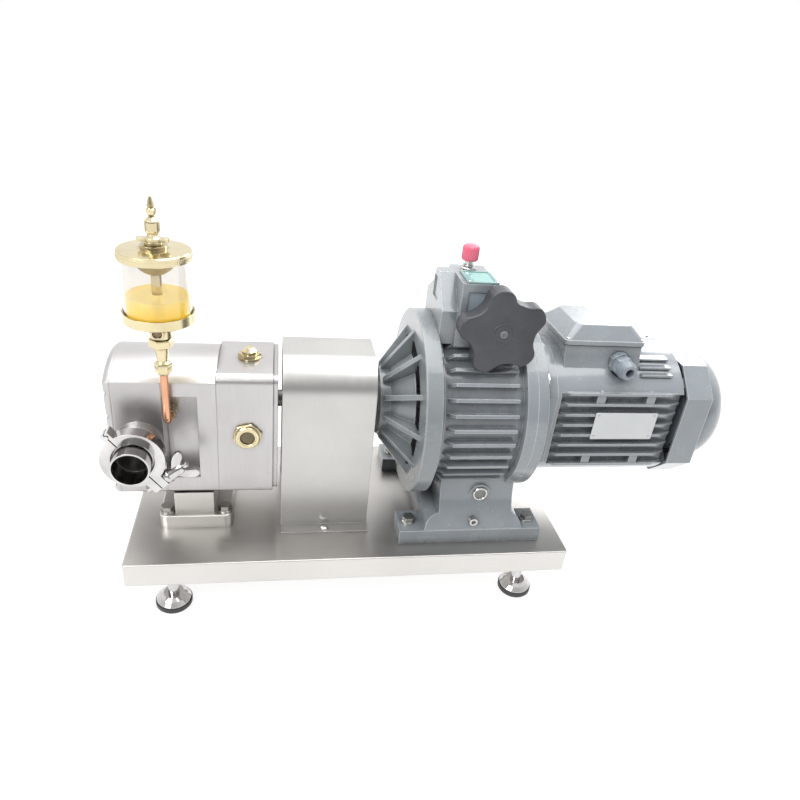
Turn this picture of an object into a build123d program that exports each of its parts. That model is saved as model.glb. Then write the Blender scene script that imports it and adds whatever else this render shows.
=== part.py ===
# Rotary lobe pump set on a stainless base: lobe pump with timing gears, drip oiler, guarded
# coupling, planetary speed variator with handwheel, and a flanged motor.
# +X runs along the shafts from the pump to the motor, +Z is up. Y = 0 is the plane of the shafts,
# X = 0 is the middle of the set's length and Z = 0 is the floor. All sizes are in millimetres.
import os
from math import acos, cos, hypot, pi, radians, sin, sqrt, tan

from build123d import *

os.makedirs("parts", exist_ok=True)

# ---------------------------------------------------------------- driving dimensions
# lengths along X, chained from the pump's front face to the end of the fan cowl
cover_t = 8             # pump front cover, without its spigot
spigot_l = 6            # part of the cover that enters the rotor case
chamber_l = 35.5        # length of the rotor chamber behind the spigot
case_wall = 7.5         # back wall of the rotor case
bearing_l = 54.5        # seal and bearing housing
gear_l = 58.5           # gear case
rear_cover_t = 5        # plate behind the gears
guard_gap = 4.5
guard_l = 100.5         # coupling guard
cone_gap = 4.6
cone_l = 39.7           # ribbed output cone of the variator
flange_t = 18           # ring flange of the output cone
barrel_l = 107          # finned barrel of the variator
motor_flange_t = 12
shield_l = 18           # drive end shield of the motor
frame_l = 154           # finned motor frame
cowl_gap = 3
cowl_l = 68

# base and levelling feet
base_l = 500
base_w = 232
base_h = 28
sheet_t = 3
front_overhang = 15     # pump front in front of the base plate's end
foot_h = 50
foot_inset_x = 46
foot_inset_y = 25
foot_r = 20
stud_r = 6
shaft_h = 140           # drive shaft above the base plate

# pump
head_w = 98.8
head_floor = 6.4833     # housing's wall under the lower chamber
head_rise = 42.3        # top of the pump's flat sides above the drive shaft
cover_stud_wall = 5.2833    # cover studs stand this far outside the chambers
head_crown = 14.7       # rise of the shallow arc above the sides
gear_top = 8.2          # flat top of the gear case above the sides
gear_round = 10
shaft_spacing = 53.2
lobes = 3
rotor_clearance = 0.15  # all round each rotor
tip_gap = 0.4           # rotor tip to chamber wall
end_gap = 0.4
rotor_shaft_r = 9
seal_shaft_r = 11
bearing_shaft_r = 10
bearing_r = 26
bearing_w = 15
gear_teeth = 28
gear_w = 24
backlash = 0.3
pressure_angle = radians(20)
bore_fit = 0.05         # radial clearance of shafts and hubs in their bores
seat_fit = 0.1          # radial clearance of pieces that sit in pockets
window_l = 34.8         # recess in the sides of the seal housing
window_h = 100
window_d = 25.4
window_low = 21.6       # underside of the recess above the pump's underside

# ports: 38.1 mm tube with 50.5 mm clamp ferrules
tube_r = 19.05
tube_bore_r = 17.4
ferrule_r = 25.25
ferrule_l = 21.5
ferrule_rim = 2.0
ferrule_slope = tan(radians(20))
gasket_t = 1.6
port_mouth_y = 38       # the wider mouth inside the rotor case ends here
port_mouth_r = 17.9
boss_r = 23.5
boss_l = 10
clamp_r = 31.5
clamp_inner_r = 21.2
clamp_half_w = 6.8
clamp_angle = -52       # direction of the clamp's ears from the port axis
clamp_split = 1.2
ear_u = 37.5            # clamp bolt from the port axis
ear_h = 9
clamp_bolt_r = 3

# bracket under the pump
plate_l = 80
plate_w = 112.4
plate_t = 17.2
plate_x = 45            # plate's end from the pump's front face
web_l = 42.6
web_x = 62.3
bolt_r = 4
bolt_head_r = 7.5
bolt_head_h = 5.5

# drip oiler in front of the pump's side
oiler_x = 63.2          # oiler axis from the pump's front face
oiler_out = 8.6         # oiler axis from the pump's side
cup_r = 31
cup_wall = 2
cup_h = 56.5
cup_low = 256           # underside of the oiler's base cap above the base plate
cap_r = 33
feed_r = 4
feed_bend_r = 12
elbow_z = 139           # brass elbow above the base plate

# coupling and guard
guard_w = 110.8
guard_top = 205         # guard's top above the base plate
guard_round = 37
guard_t = 2
guard_flange = 15.3
hub_r = 26
hub_l = 30
spider_l = 14
jaw_place = 19          # middle of the jaws from the shaft's axis
jaw_size = 11
jaw_w = 8
spider_lobe = 5.5

# variator
neck_r = 40
ring_r = 108
barrel_r = 88
fin_tip_r = 97
fin_t = 4
fin_count = 36
fin_turn = 2
input_r = 100
input_t = 12
cone_ribs = 12
rail_l = 170.7
rail_w = 186.6
rail_t = 18
rail_depth = 38.4
rail_x = 10.5           # start of the foot before the ring flange
rail_bolt_in = 12.5     # rail bolts from the rails' ends
column_l = 88
column_x = 36.5         # column from the ring flange's start
column_w = 140

# control box and handwheel
wheel_x = 77            # wheel axis from the ring flange's start
wheel_z = 117           # wheel axis above the shafts
wheel_r = 47
wheel_t = 19
wheel_gap = 1.5         # room round the wheel, cut into the fins under it
wheel_lobes = 5
wheel_turn = 101        # direction of the first lobe, in degrees from +X
wheel_out = 74          # front face of the wheel from the shaft plane
spindle_r = 6

# motor
frame_r = 82            # round top and bottom of the motor
frame_side = 70         # flat sides of the motor and tips of its fins
frame_core = 61         # bottom of the grooves between the fins
fin_rows = 8
fin_pitch = 13.3
motor_fin_t = 3
neck_l = 8.5            # gap for the flange bolts
flange_bolt_r = 82.5    # standard 165 mm bolt circle of a 200 mm flange
box_x = 489             # terminal box from the pump's front face
box_l = 92
box_half = 39
box_h = 94              # top of the box above the shaft
cowl_flat = 73
cowl_corner = 44
cowl_band = 34          # eight-sided part of the cowl
cowl_dome_r = 68
cowl_end_r = 44
cowl_wall = 3
lug_t = 22              # lugs at the back of the frame, to which the cowl is screwed
lug_w = 12
motor_shaft_r = 9.5

# ---------------------------------------------------------------- derived places
overall_l = sum((cover_t, spigot_l, chamber_l, case_wall, bearing_l, gear_l, rear_cover_t, guard_gap, guard_l,
                 cone_gap, cone_l, flange_t, barrel_l, motor_flange_t, shield_l, frame_l, cowl_gap,
                 cowl_l))
x_front = -overall_l / 2
x_case = x_front + cover_t
x_chamber = x_case + spigot_l
x_wall = x_chamber + chamber_l
x_bearing = x_wall + case_wall
x_gear = x_bearing + bearing_l
x_rear = x_gear + gear_l
x_pump_end = x_rear + rear_cover_t
x_guard = x_pump_end + guard_gap
x_guard_end = x_guard + guard_l
x_cone = x_guard_end + cone_gap
x_flange = x_cone + cone_l
x_barrel = x_flange + flange_t
x_motor = x_barrel + barrel_l
x_shield = x_motor + motor_flange_t
x_frame = x_shield + shield_l
x_frame_end = x_frame + frame_l
x_cowl = x_frame_end + cowl_gap
x_end = x_cowl + cowl_l
x_base = x_front + front_overhang
z_base = foot_h + base_h
z_shaft = z_base + shaft_h
z_driven = z_shaft - shaft_spacing
z_port = z_shaft - shaft_spacing / 2
x_port = x_chamber + chamber_l / 2
half_w = head_w / 2
shafts_z = (z_shaft, z_driven)
pitch_r = shaft_spacing / 2
roll_r = pitch_r / (2 * lobes)
chamber_r = pitch_r + 2 * roll_r - rotor_clearance + tip_gap
z_head = z_driven - chamber_r - head_floor
z_arris = z_shaft + head_rise
head_side_h = z_arris - z_head
y_mouth = half_w + boss_l + 2 * ferrule_l + gasket_t
y_clamp = half_w + boss_l + ferrule_l + gasket_t / 2


# ---------------------------------------------------------------- shared forms
def x_line(z, y=0):
    return Plane(origin=(0, y, z), x_dir=(1, 0, 0), z_dir=(0, -1, 0))


def y_line(x, z):
    return Plane(origin=(x, 0, z), x_dir=(0, 1, 0), z_dir=(1, 0, 0))


def z_line(x, y):
    return Plane(origin=(x, y, 0), x_dir=(0, 0, 1), z_dir=(0, 1, 0))


def across(x):
    # plane square to the shafts: its own x is +Y and its own y is +Z
    return Plane(origin=(x, 0, 0), x_dir=(0, 1, 0), z_dir=(1, 0, 0))


def facing(y):
    # plane that looks along -Y: its own x is +X and its own y is +Z
    return Plane(origin=(0, y, 0), x_dir=(1, 0, 0), z_dir=(0, -1, 0))


def turn(line, stations, bore=0, mode=Mode.ADD):
    # solid of revolution about the line, from (place along the line, radius) stations
    ends = [(stations[-1][0], bore), (stations[0][0], bore)]
    with BuildSketch(line, mode=Mode.PRIVATE) as section:
        with BuildLine():
            Polyline(*stations, *ends, close=True)
        make_face()
    revolve(section.sketch, axis=Axis(line.origin, line.x_dir), mode=mode)


def drill(line, start, end, radius):
    turn(line, [(start, radius), (end, radius)], mode=Mode.SUBTRACT)


def head_outline(width, low, side_top, crown):
    # section of the pump's crowned housings
    half = width / 2
    with BuildSketch(Plane.XY, mode=Mode.PRIVATE) as section:
        with BuildLine():
            Polyline((half, side_top), (half, low), (-half, low), (-half, side_top))
            ThreePointArc((-half, side_top), (0, side_top + crown), (half, side_top))
        make_face()
        fillet(section.vertices().group_by(Axis.Y)[0], 6)
    return section.sketch


def block(x0, x1, y0, y1, z0, z1, mode=Mode.ADD):
    with Locations(((x0 + x1) / 2, (y0 + y1) / 2, (z0 + z1) / 2)):
        return Box(x1 - x0, y1 - y0, z1 - z0, mode=mode)


def place(profile, plane, amount, mode=Mode.ADD):
    # profile drawn on XY, moved to the plane and extruded along its normal
    extrude(plane.location * profile, amount=amount, mode=mode)


def hexagon(radius):
    with BuildSketch(Plane.XY, mode=Mode.PRIVATE) as section:
        RegularPolygon(radius, 6, major_radius=False)
    return section.sketch


def finish(piece, name):
    piece.part.label = name
    export_step(piece.part, f"parts/{name}.step")


# ---------------------------------------------------------------- base and feet
foot_places = [(x_base + dx, side * (base_w / 2 - foot_inset_y))
               for dx in (foot_inset_x, base_l - foot_inset_x) for side in (-1, 1)]
x_plate = x_front + plate_x
x_rail = x_flange - rail_x
bracket_bolts = [(x_plate + dx, side * (plate_w / 2 - 12))
                 for dx in (8.5, plate_l - 8.5) for side in (-1, 1)]
rail_bolts = [(x_rail + dx, side * (rail_w / 2 - rail_depth / 2))
              for dx in (rail_bolt_in, rail_l - rail_bolt_in) for side in (-1, 1)]
guard_bolts = [(x_guard + dx, side * (guard_w / 2 + 9))
               for dx in (guard_l / 2,) for side in (-1, 1)]

with BuildPart() as base_plate:
    with Locations((x_base + base_l / 2, 0, foot_h + base_h / 2)):
        Box(base_l, base_w, base_h)
    fillet(base_plate.edges().filter_by(Axis.Z), 4)
    fillet(base_plate.faces().sort_by(Axis.Z)[-1].edges(), 1.5)
    with Locations((x_base + base_l / 2, 0, foot_h + (base_h - sheet_t) / 2)):
        Box(base_l - 2 * sheet_t, base_w - 2 * sheet_t, base_h - sheet_t, mode=Mode.SUBTRACT)
    for x, y in foot_places:
        turn(z_line(x, y), [(foot_h, 13), (z_base - sheet_t, 13)])
    for x, y in foot_places:
        drill(z_line(x, y), foot_h - 1, z_base - sheet_t, stud_r + seat_fit)
    for x, y in bracket_bolts + rail_bolts:
        drill(z_line(x, y), foot_h, z_base + 1, bolt_r + 0.5)
finish(base_plate, "base_plate")

pad_h = 7
cup_t = 9
with BuildPart() as foot_pads:
    for x, y in foot_places:
        turn(z_line(x, y), [(0, foot_r - 1.5), (2, foot_r), (pad_h, foot_r)])
finish(foot_pads, "foot_pads")

with BuildPart() as foot_stems:
    for x, y in foot_places:
        turn(z_line(x, y), [(pad_h, foot_r - 1), (pad_h + 2, foot_r - 1), (pad_h + 6, 15),
                            (pad_h + cup_t, 11), (pad_h + cup_t, stud_r), (z_base - sheet_t - 3, stud_r)])
finish(foot_stems, "foot_stems")

nut_h = 8
with BuildPart() as foot_nuts:
    for x, y in foot_places:
        place(hexagon(9.5), Plane(origin=(x, y, foot_h - nut_h), z_dir=(0, 0, 1)), nut_h)
        drill(z_line(x, y), foot_h - nut_h - 1, foot_h + 1, stud_r + seat_fit)
finish(foot_nuts, "foot_nuts")

# ---------------------------------------------------------------- pump housings
head = head_outline(head_w, z_head, z_arris, head_crown)
cover_pocket_r = 14
nut_r = 6
x_nut_seat = x_case - 2
cover_nut_gap = 30      # cover studs stand this far above and below the ports
cover_nut_rows = (z_head + 14, z_port - cover_nut_gap, z_port + cover_nut_gap, z_arris - 12)
cover_stud_out = chamber_r + cover_stud_wall
cover_nut_places = [(side * cover_stud_out, z) for side in (-1, 1) for z in cover_nut_rows]

with BuildPart() as front_cover:
    place(head, across(x_front), cover_t)
    fillet(front_cover.faces().sort_by(Axis.X)[0].edges(), 7)
    for z in shafts_z:
        turn(x_line(z), [(x_case - 1, chamber_r - seat_fit), (x_chamber, chamber_r - seat_fit)])
    for z in shafts_z:
        drill(x_line(z), x_chamber - 7, x_chamber + 1, cover_pocket_r)
    for y, z in cover_nut_places:
        drill(x_line(z, y), x_front - 1, x_nut_seat, nut_r + 1.5)
        drill(x_line(z, y), x_front, x_case + 1, 3.2)
finish(front_cover, "front_cover")

with BuildPart() as cover_nuts:
    for y, z in cover_nut_places:
        place(hexagon(nut_r - 0.6), Plane(origin=(x_nut_seat - 3.5, y, z), z_dir=(1, 0, 0)), 3.5)
        turn(x_line(z, y), [(x_nut_seat - 5.8, 1.5), (x_nut_seat - 5.3, 3.6), (x_nut_seat - 3.5, 4.6)])
        turn(x_line(z, y), [(x_nut_seat - 0.1, 3), (x_case + 12, 3)])
finish(cover_nuts, "cover_nuts")

seal_seat_r = 17
with BuildPart() as rotor_case:
    place(head, across(x_case), x_bearing - x_case)
    for side in (-1, 1):
        turn(y_line(x_port, z_port),
             [(side * (half_w - 2), boss_r), (side * (half_w + boss_l), boss_r - 1.5),
              (side * (half_w + boss_l), tube_r),
              (side * (y_clamp - gasket_t / 2 - ferrule_rim
                       - (ferrule_r - tube_r) * ferrule_slope), tube_r),
              (side * (y_clamp - gasket_t / 2 - ferrule_rim), ferrule_r),
              (side * (y_clamp - gasket_t / 2), ferrule_r)])
    for z in shafts_z:
        drill(x_line(z), x_case - 1, x_wall, chamber_r)
        drill(x_line(z), x_wall - 1, x_bearing + 1, seal_seat_r + bore_fit)
    for side in (-1, 1):
        drill(y_line(x_port, z_port), side * 8, side * port_mouth_y, port_mouth_r)
        drill(y_line(x_port, z_port), side * port_mouth_y, side * (y_clamp + 5), tube_bore_r)
    for y, z in cover_nut_places:
        drill(x_line(z, y), x_case - 1, x_case + 14, 3.05)
finish(rotor_case, "rotor_case")

seal_bore_r = 20
x_front_bearing = x_gear - bearing_w - 2
with BuildPart() as bearing_housing:
    place(head, across(x_bearing), bearing_l)
    for side in (-1, 1):
        y_in = side * (half_w - window_d)
        y_out = side * (half_w + 1)
        block(x_bearing - 1, x_bearing + window_l, min(y_in, y_out), max(y_in, y_out),
              z_head + window_low, z_head + window_low + window_h, mode=Mode.SUBTRACT)
    for z in shafts_z:
        drill(x_line(z), x_bearing - 1, x_front_bearing - 1, seal_bore_r)
        drill(x_line(z), x_front_bearing - 2, x_front_bearing + 0.5, 14)
        drill(x_line(z), x_front_bearing, x_gear + 1, bearing_r + bore_fit)
finish(bearing_housing, "bearing_housing")

gear_cavity_gap = 1.5     # gear tips to the case
gear_cavity_r = pitch_r + 2 * pitch_r / gear_teeth + gear_cavity_gap
x_rear_bearing = x_rear - 4 - bearing_w
x_gears = x_gear + 5
with BuildPart() as gear_case:
    with BuildSketch(across(x_gear)):
        with Locations((0, (z_head + z_arris + gear_top) / 2)):
            Rectangle(head_w, head_side_h + gear_top)
    extrude(amount=gear_l)
    long_edges = gear_case.edges().filter_by(Axis.X)
    fillet(long_edges.group_by(Axis.Z)[-1], gear_round)
    fillet(gear_case.edges().filter_by(Axis.X).group_by(Axis.Z)[0], 6)
    for z in shafts_z:
        drill(x_line(z), x_gear - 1, x_rear_bearing - 3, gear_cavity_r)
        drill(x_line(z), x_rear_bearing - 4, x_rear_bearing + 0.5, 22)
        drill(x_line(z), x_rear_bearing, x_rear + 1, bearing_r + bore_fit)
    x_sight = x_front + 143
    z_sight = z_base + 120
    drill(y_line(x_sight, z_sight), -half_w - 1, -20, 9)
    x_filler = x_front + 144
    drill(z_line(x_filler, 0), z_shaft + 10, z_arris + gear_top + 1, 9)
finish(gear_case, "gear_case")

with BuildPart() as rear_cover:
    with BuildSketch(across(x_rear)):
        with Locations((0, (z_head + z_arris + gear_top) / 2)):
            RectangleRounded(head_w - 4, head_side_h + gear_top - 4, 8)
    extrude(amount=rear_cover_t)
    drill(x_line(z_shaft), x_rear - 1, x_pump_end + 1, seal_shaft_r)
finish(rear_cover, "rear_cover")

with BuildPart() as pump_bracket:
    with BuildSketch(Plane.XY.offset(z_base)):
        with Locations((x_plate + plate_l / 2, 0)):
            RectangleRounded(plate_l, plate_w, 9)
    extrude(amount=plate_t)
    fillet(pump_bracket.faces().sort_by(Axis.Z)[-1].edges(), 2.5)
    x_web = x_front + web_x
    block(x_web, x_web + web_l, -half_w, half_w, z_base + plate_t - 1, z_head)
    for x, y in bracket_bolts:
        drill(z_line(x, y), z_base - 1, z_base + plate_t + 1, bolt_r + 0.5)
finish(pump_bracket, "pump_bracket")


# ---------------------------------------------------------------- rotors, gears and shafts
def rotor_outline(radius, count, clearance):
    # tip arcs are epicycloids and root arcs are hypocycloids of one rolling circle, so that two
    # such rotors mesh at every angle; the outline is set inwards by the clearance
    roll = radius / (2 * count)
    steps = 10
    points = []
    for arc in range(2 * count):
        start = arc * pi / count
        sign = 1 if arc % 2 == 0 else -1
        for step in range(steps):
            angle = (step + 0.5) / steps * pi / count
            ratio = (radius + sign * roll) / roll
            x = (radius + sign * roll) * cos(angle) - sign * roll * cos(ratio * angle)
            y = (radius + sign * roll) * sin(angle) - roll * sin(ratio * angle)
            away_x = sign * (x - radius * cos(angle))
            away_y = sign * (y - radius * sin(angle))
            reach = hypot(away_x, away_y)
            x -= clearance * away_x / reach
            y -= clearance * away_y / reach
            points.append((x * cos(start) - y * sin(start), x * sin(start) + y * cos(start)))
    with BuildSketch(Plane.XY, mode=Mode.PRIVATE) as section:
        with BuildLine():
            Spline(*points, periodic=True)
        make_face()
    return section.sketch


def gear_outline(teeth, radius, slack, turned_by=0.0):
    # involute teeth; slack is the backlash taken off each tooth at the pitch circle
    module = 2 * radius / teeth
    base_radius = radius * cos(pressure_angle)
    tip_radius = radius + module
    root_radius = radius - 1.25 * module
    half_tooth = pi / (2 * teeth) - slack / (2 * radius)
    at_pitch = tan(pressure_angle) - pressure_angle
    flank = [(root_radius, half_tooth + at_pitch)]
    for step in range(4):
        reach = base_radius + (tip_radius - base_radius) * step / 3
        roll = acos(base_radius / reach)
        flank.append((reach, half_tooth + at_pitch - (tan(roll) - roll)))
    points = []
    for tooth in range(teeth):
        middle = 2 * pi * (tooth + turned_by) / teeth
        for reach, half in flank:
            points.append((reach * cos(middle - half), reach * sin(middle - half)))
        for reach, half in reversed(flank):
            points.append((reach * cos(middle + half), reach * sin(middle + half)))
    with BuildSketch(Plane.XY, mode=Mode.PRIVATE) as section:
        with BuildLine():
            Polyline(*points, close=True)
        make_face()
    return section.sketch


rotor_l = chamber_l - 2 * end_gap
nut_pocket_r = 12.5
nut_pocket_d = 7
rotor_face = rotor_outline(pitch_r, lobes, rotor_clearance)
rotor_pieces = []
for name, z in (("drive_rotor", z_shaft), ("driven_rotor", z_driven)):
    with BuildPart() as rotor:
        place(rotor_face, Plane(origin=(x_chamber + end_gap, 0, z), x_dir=(0, 1, 0), z_dir=(1, 0, 0)),
              rotor_l)
        drill(x_line(z), x_chamber, x_wall, rotor_shaft_r + bore_fit)
        drill(x_line(z), x_chamber, x_chamber + end_gap + nut_pocket_d, nut_pocket_r)
    rotor_pieces.append((rotor, name))
    with BuildPart() as nut:
        place(hexagon(10), Plane(origin=(x_chamber + end_gap + 0.5, 0, z), z_dir=(1, 0, 0)),
              nut_pocket_d - 0.5)
        turn(x_line(z), [(x_chamber - 5.5, 3), (x_chamber - 4.5, 6.5), (x_chamber - 1, 9),
                         (x_chamber + 1, 9.6)])
        drill(x_line(z), x_chamber + end_gap + 1, x_wall, 6 + bore_fit)
    rotor_pieces.append((nut, name + "_nut"))
for piece, name in rotor_pieces:
    finish(piece, name)

x_thread = x_chamber + end_gap + 1.2
rotor_journal = [(x_thread, 6), (x_chamber + end_gap + nut_pocket_d, 6),
                 (x_chamber + end_gap + nut_pocket_d, rotor_shaft_r), (x_wall - end_gap, rotor_shaft_r),
                 (x_wall - end_gap, seal_shaft_r), (x_front_bearing - 1, seal_shaft_r),
                 (x_front_bearing - 1, bearing_shaft_r)]
x_hub_1 = x_guard + 16
x_spider = x_hub_1 + hub_l
x_hub_2 = x_spider + spider_l
with BuildPart() as drive_shaft:
    turn(x_line(z_shaft), rotor_journal + [(x_rear, bearing_shaft_r), (x_rear, 9.5), (x_spider - 1, 9.5)])
finish(drive_shaft, "drive_shaft")

with BuildPart() as driven_shaft:
    turn(x_line(z_driven), rotor_journal + [(x_rear - 2, bearing_shaft_r)])
finish(driven_shaft, "driven_shaft")

for name, z, turned_by in (("drive_gear", z_shaft, 0.0), ("driven_gear", z_driven, 0.5)):
    with BuildPart() as gear:
        place(gear_outline(gear_teeth, pitch_r, backlash, turned_by),
              Plane(origin=(x_gears, 0, z), x_dir=(0, 1, 0), z_dir=(1, 0, 0)), gear_w)
        turn(x_line(z), [(x_gears - 3, 16), (x_gears, 16)])
        drill(x_line(z), x_gears - 4, x_gears + gear_w + 1, bearing_shaft_r + bore_fit)
    finish(gear, name)

# ---------------------------------------------------------------- seals
with BuildPart() as shaft_seals:
    for z in shafts_z:
        turn(x_line(z), [(x_wall + 0.3, seal_seat_r), (x_bearing, seal_seat_r), (x_bearing, 18.5),
                         (x_bearing + 12, 18.5), (x_bearing + 12, 15), (x_bearing + 22, 15)],
             bore=seal_shaft_r + bore_fit)
finish(shaft_seals, "shaft_seals")

# ---------------------------------------------------------------- ports and clamps
flange_back = (ferrule_r - tube_r) * ferrule_slope
with BuildPart() as port_ferrules:
    for side in (-1, 1):
        face = y_clamp + gasket_t / 2
        turn(y_line(x_port, z_port),
             [(side * face, ferrule_r), (side * (face + ferrule_rim), ferrule_r),
              (side * (face + ferrule_rim + flange_back), tube_r), (side * y_mouth, tube_r)],
             bore=tube_bore_r)
finish(port_ferrules, "port_ferrules")

with BuildPart() as port_gaskets:
    for side in (-1, 1):
        turn(y_line(x_port, z_port),
             [(side * (y_clamp - gasket_t / 2), ferrule_r - 0.5),
              (side * (y_clamp + gasket_t / 2), ferrule_r - 0.5)], bore=tube_bore_r)
finish(port_gaskets, "port_gaskets")

clamp_u = Vector(cos(radians(clamp_angle)), 0, sin(radians(clamp_angle)))
clamp_v = Vector(-sin(radians(clamp_angle)), 0, cos(radians(clamp_angle)))
groove_fit = 0.15
groove_half = gasket_t / 2 + ferrule_rim + groove_fit
groove_lip = groove_half + (ferrule_r + groove_fit - clamp_inner_r) * ferrule_slope
hinge_u = -(clamp_r + 4)
hinge_pin_r = 2


def clamp_plane(side, along=0.0):
    # the plane's own x points at the ears and its own y along the clamp bolt
    return Plane(origin=(x_port, side * y_clamp + along, z_port), x_dir=tuple(clamp_u),
                 z_dir=(0, -1, 0))


with BuildPart() as port_clamps:
    for side in (-1, 1):
        middle = side * y_clamp
        with BuildSketch(y_line(x_port, z_port)):
            with BuildLine():
                Polyline((middle - clamp_half_w, clamp_inner_r), (middle - clamp_half_w, clamp_r),
                         (middle + clamp_half_w, clamp_r), (middle + clamp_half_w, clamp_inner_r),
                         (middle + groove_lip, clamp_inner_r),
                         (middle + groove_half, ferrule_r + groove_fit),
                         (middle - groove_half, ferrule_r + groove_fit),
                         (middle - groove_lip, clamp_inner_r), close=True)
            make_face()
        revolve(axis=Axis((x_port, 0, z_port), (0, 1, 0)))
        with BuildSketch(clamp_plane(side)):
            with Locations((ear_u - 2.5, 0)):
                Rectangle(16, 2 * ear_h)
        extrude(amount=clamp_half_w, both=True)
        with BuildSketch(clamp_plane(side)):
            with Locations((hinge_u + 0.5, 0)):
                Rectangle(9, 9)
        extrude(amount=clamp_half_w, both=True)
        with BuildSketch(clamp_plane(side)):
            Rectangle(2 * (ear_u + 10), clamp_split)
        extrude(amount=clamp_half_w + 1, both=True, mode=Mode.SUBTRACT)
        with BuildSketch(clamp_plane(side)):
            Circle(clamp_inner_r)
        extrude(amount=clamp_half_w + 1, both=True, mode=Mode.SUBTRACT)
        with BuildSketch(clamp_plane(side)):
            with Locations((ear_u + 4, 0)):
                Rectangle(8 + 2 * clamp_bolt_r + 1, 3 * ear_h)
        extrude(amount=clamp_bolt_r + 0.5, both=True, mode=Mode.SUBTRACT)
        with BuildSketch(clamp_plane(side)):
            with Locations((hinge_u, 0)):
                Circle(hinge_pin_r + bore_fit)
        extrude(amount=clamp_half_w + 1, both=True, mode=Mode.SUBTRACT)
finish(port_clamps, "port_clamps")

bolt_reach = 36
with BuildPart() as clamp_bolts:
    for side in (-1, 1):
        origin = Vector(x_port, side * y_clamp, z_port) + clamp_u * ear_u
        line = Plane(origin=tuple(origin), x_dir=tuple(clamp_v), z_dir=(0, -1, 0))
        turn(line, [(-ear_h - 6, 4.5), (-ear_h - 0.3, 4.5), (-ear_h - 0.3, clamp_bolt_r),
                    (bolt_reach, clamp_bolt_r)])
        with BuildSketch(clamp_plane(side)):
            with Locations((hinge_u, 0)):
                Circle(hinge_pin_r)
        extrude(amount=clamp_half_w + 1.5, both=True)
finish(clamp_bolts, "clamp_bolts")

for side, name in ((-1, "front_wing_nut"), (1, "rear_wing_nut")):
    origin = Vector(x_port, side * y_clamp, z_port) + clamp_u * ear_u
    line = Plane(origin=tuple(origin), x_dir=tuple(clamp_v), z_dir=(0, -1, 0))
    with BuildPart() as wing_nut:
        turn(line, [(ear_h + 0.3, 7), (ear_h + 5, 7.5), (ear_h + 12, 6), (ear_h + 22, 5.5)])
        with BuildSketch(line):
            with BuildLine():
                Polyline((ear_h + 10, -5), (ear_h + 18, -13), (ear_h + 29, -18), (ear_h + 32, -14),
                         (ear_h + 22, -5), (ear_h + 22, 5), (ear_h + 32, 14), (ear_h + 29, 18),
                         (ear_h + 18, 13), (ear_h + 10, 5), close=True)
            make_face()
        extrude(amount=2.2, both=True)
        drill(line, ear_h, ear_h + 30, clamp_bolt_r + bore_fit)
    finish(wing_nut, name)

# ---------------------------------------------------------------- drip oiler and feed line
x_oiler = x_front + oiler_x
y_oiler = -half_w - oiler_out
oiler_line = z_line(x_oiler, y_oiler)
z_feed_top = z_base + cup_low
with BuildPart() as oiler_stem:
    turn(oiler_line, [(z_feed_top - 58, 6), (z_feed_top - 56, 7), (z_feed_top - 46, 7),
                      (z_feed_top - 44, 5), (z_feed_top - 40, 5.5), (z_feed_top - 30, 7),
                      (z_feed_top - 28, 10), (z_feed_top - 20, 10), (z_feed_top - 20, 7),
                      (z_feed_top - 18, 10.5), (z_feed_top - 4, 10.5)])
    drill(oiler_line, z_feed_top - 60, z_feed_top - 46, feed_r + bore_fit)
finish(oiler_stem, "oiler_stem")

z_glass = z_feed_top + 6
with BuildPart() as oiler_base:
    turn(oiler_line, [(z_feed_top - 4, 11), (z_feed_top - 3, 20), (z_feed_top - 1, cap_r - 1),
                      (z_feed_top, cap_r), (z_glass + 3, cap_r)])
    turn(oiler_line, [(z_glass, cup_r + 0.5), (z_glass + 4, cup_r + 0.5)], mode=Mode.SUBTRACT)
    turn(oiler_line, [(z_glass - 1, 5), (z_glass + cup_h, 5)])
    drill(oiler_line, z_glass + 6, z_glass + cup_h + 1, 2.5)
finish(oiler_base, "oiler_base")

with BuildPart() as oiler_glass:
    turn(oiler_line, [(z_glass + 0.2, cup_r), (z_glass + cup_h, cup_r)], bore=cup_r - cup_wall)
finish(oiler_glass, "oiler_glass")

z_lid = z_glass + cup_h
with BuildPart() as oiler_lid:
    turn(oiler_line, [(z_lid - 3, cap_r), (z_lid + 4, cap_r), (z_lid + 5, cap_r - 1), (z_lid + 6, 12),
                      (z_lid + 9, 12)])
    turn(oiler_line, [(z_lid - 4, cup_r + 0.5), (z_lid + 0.2, cup_r + 0.5)], mode=Mode.SUBTRACT)
    drill(oiler_line, z_lid - 1, z_lid + 10, 5 + bore_fit)
finish(oiler_lid, "oiler_lid")

sleeve_r = 6
sleeve_top = z_lid + 33.5
z_pivot = sleeve_top + 4.7
tongue_r = 2.5
tongue_t = 2.4
lever_pin_r = 1
pivot_line = y_line(x_oiler, z_pivot)
with BuildPart() as oiler_adjuster:
    turn(oiler_line, [(z_lid + 9.3, 8), (z_lid + 12, 8), (z_lid + 12, sleeve_r + 1),
                      (z_lid + 15, sleeve_r + 1), (z_lid + 17, sleeve_r - 1),
                      (z_lid + 19, sleeve_r - 1), (z_lid + 20, sleeve_r),
                      (sleeve_top - 3, sleeve_r), (sleeve_top, 3)])
    with BuildSketch(Plane.XY.offset(z_lid + 12)):
        with Locations((x_oiler, y_oiler)):
            SlotOverall(29, 8)
    extrude(amount=3)
    turn(oiler_line, [(z_lid - 20, 1), (z_lid - 16, 2.3), (z_lid + 10, 2.3)])
    block(x_oiler - tongue_r, x_oiler + tongue_r, y_oiler - tongue_t / 2, y_oiler + tongue_t / 2,
          sleeve_top - 1, z_pivot)
    turn(pivot_line, [(y_oiler - tongue_t / 2, tongue_r), (y_oiler + tongue_t / 2, tongue_r)])
    drill(pivot_line, y_oiler - tongue_t, y_oiler + tongue_t, lever_pin_r + bore_fit)
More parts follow.
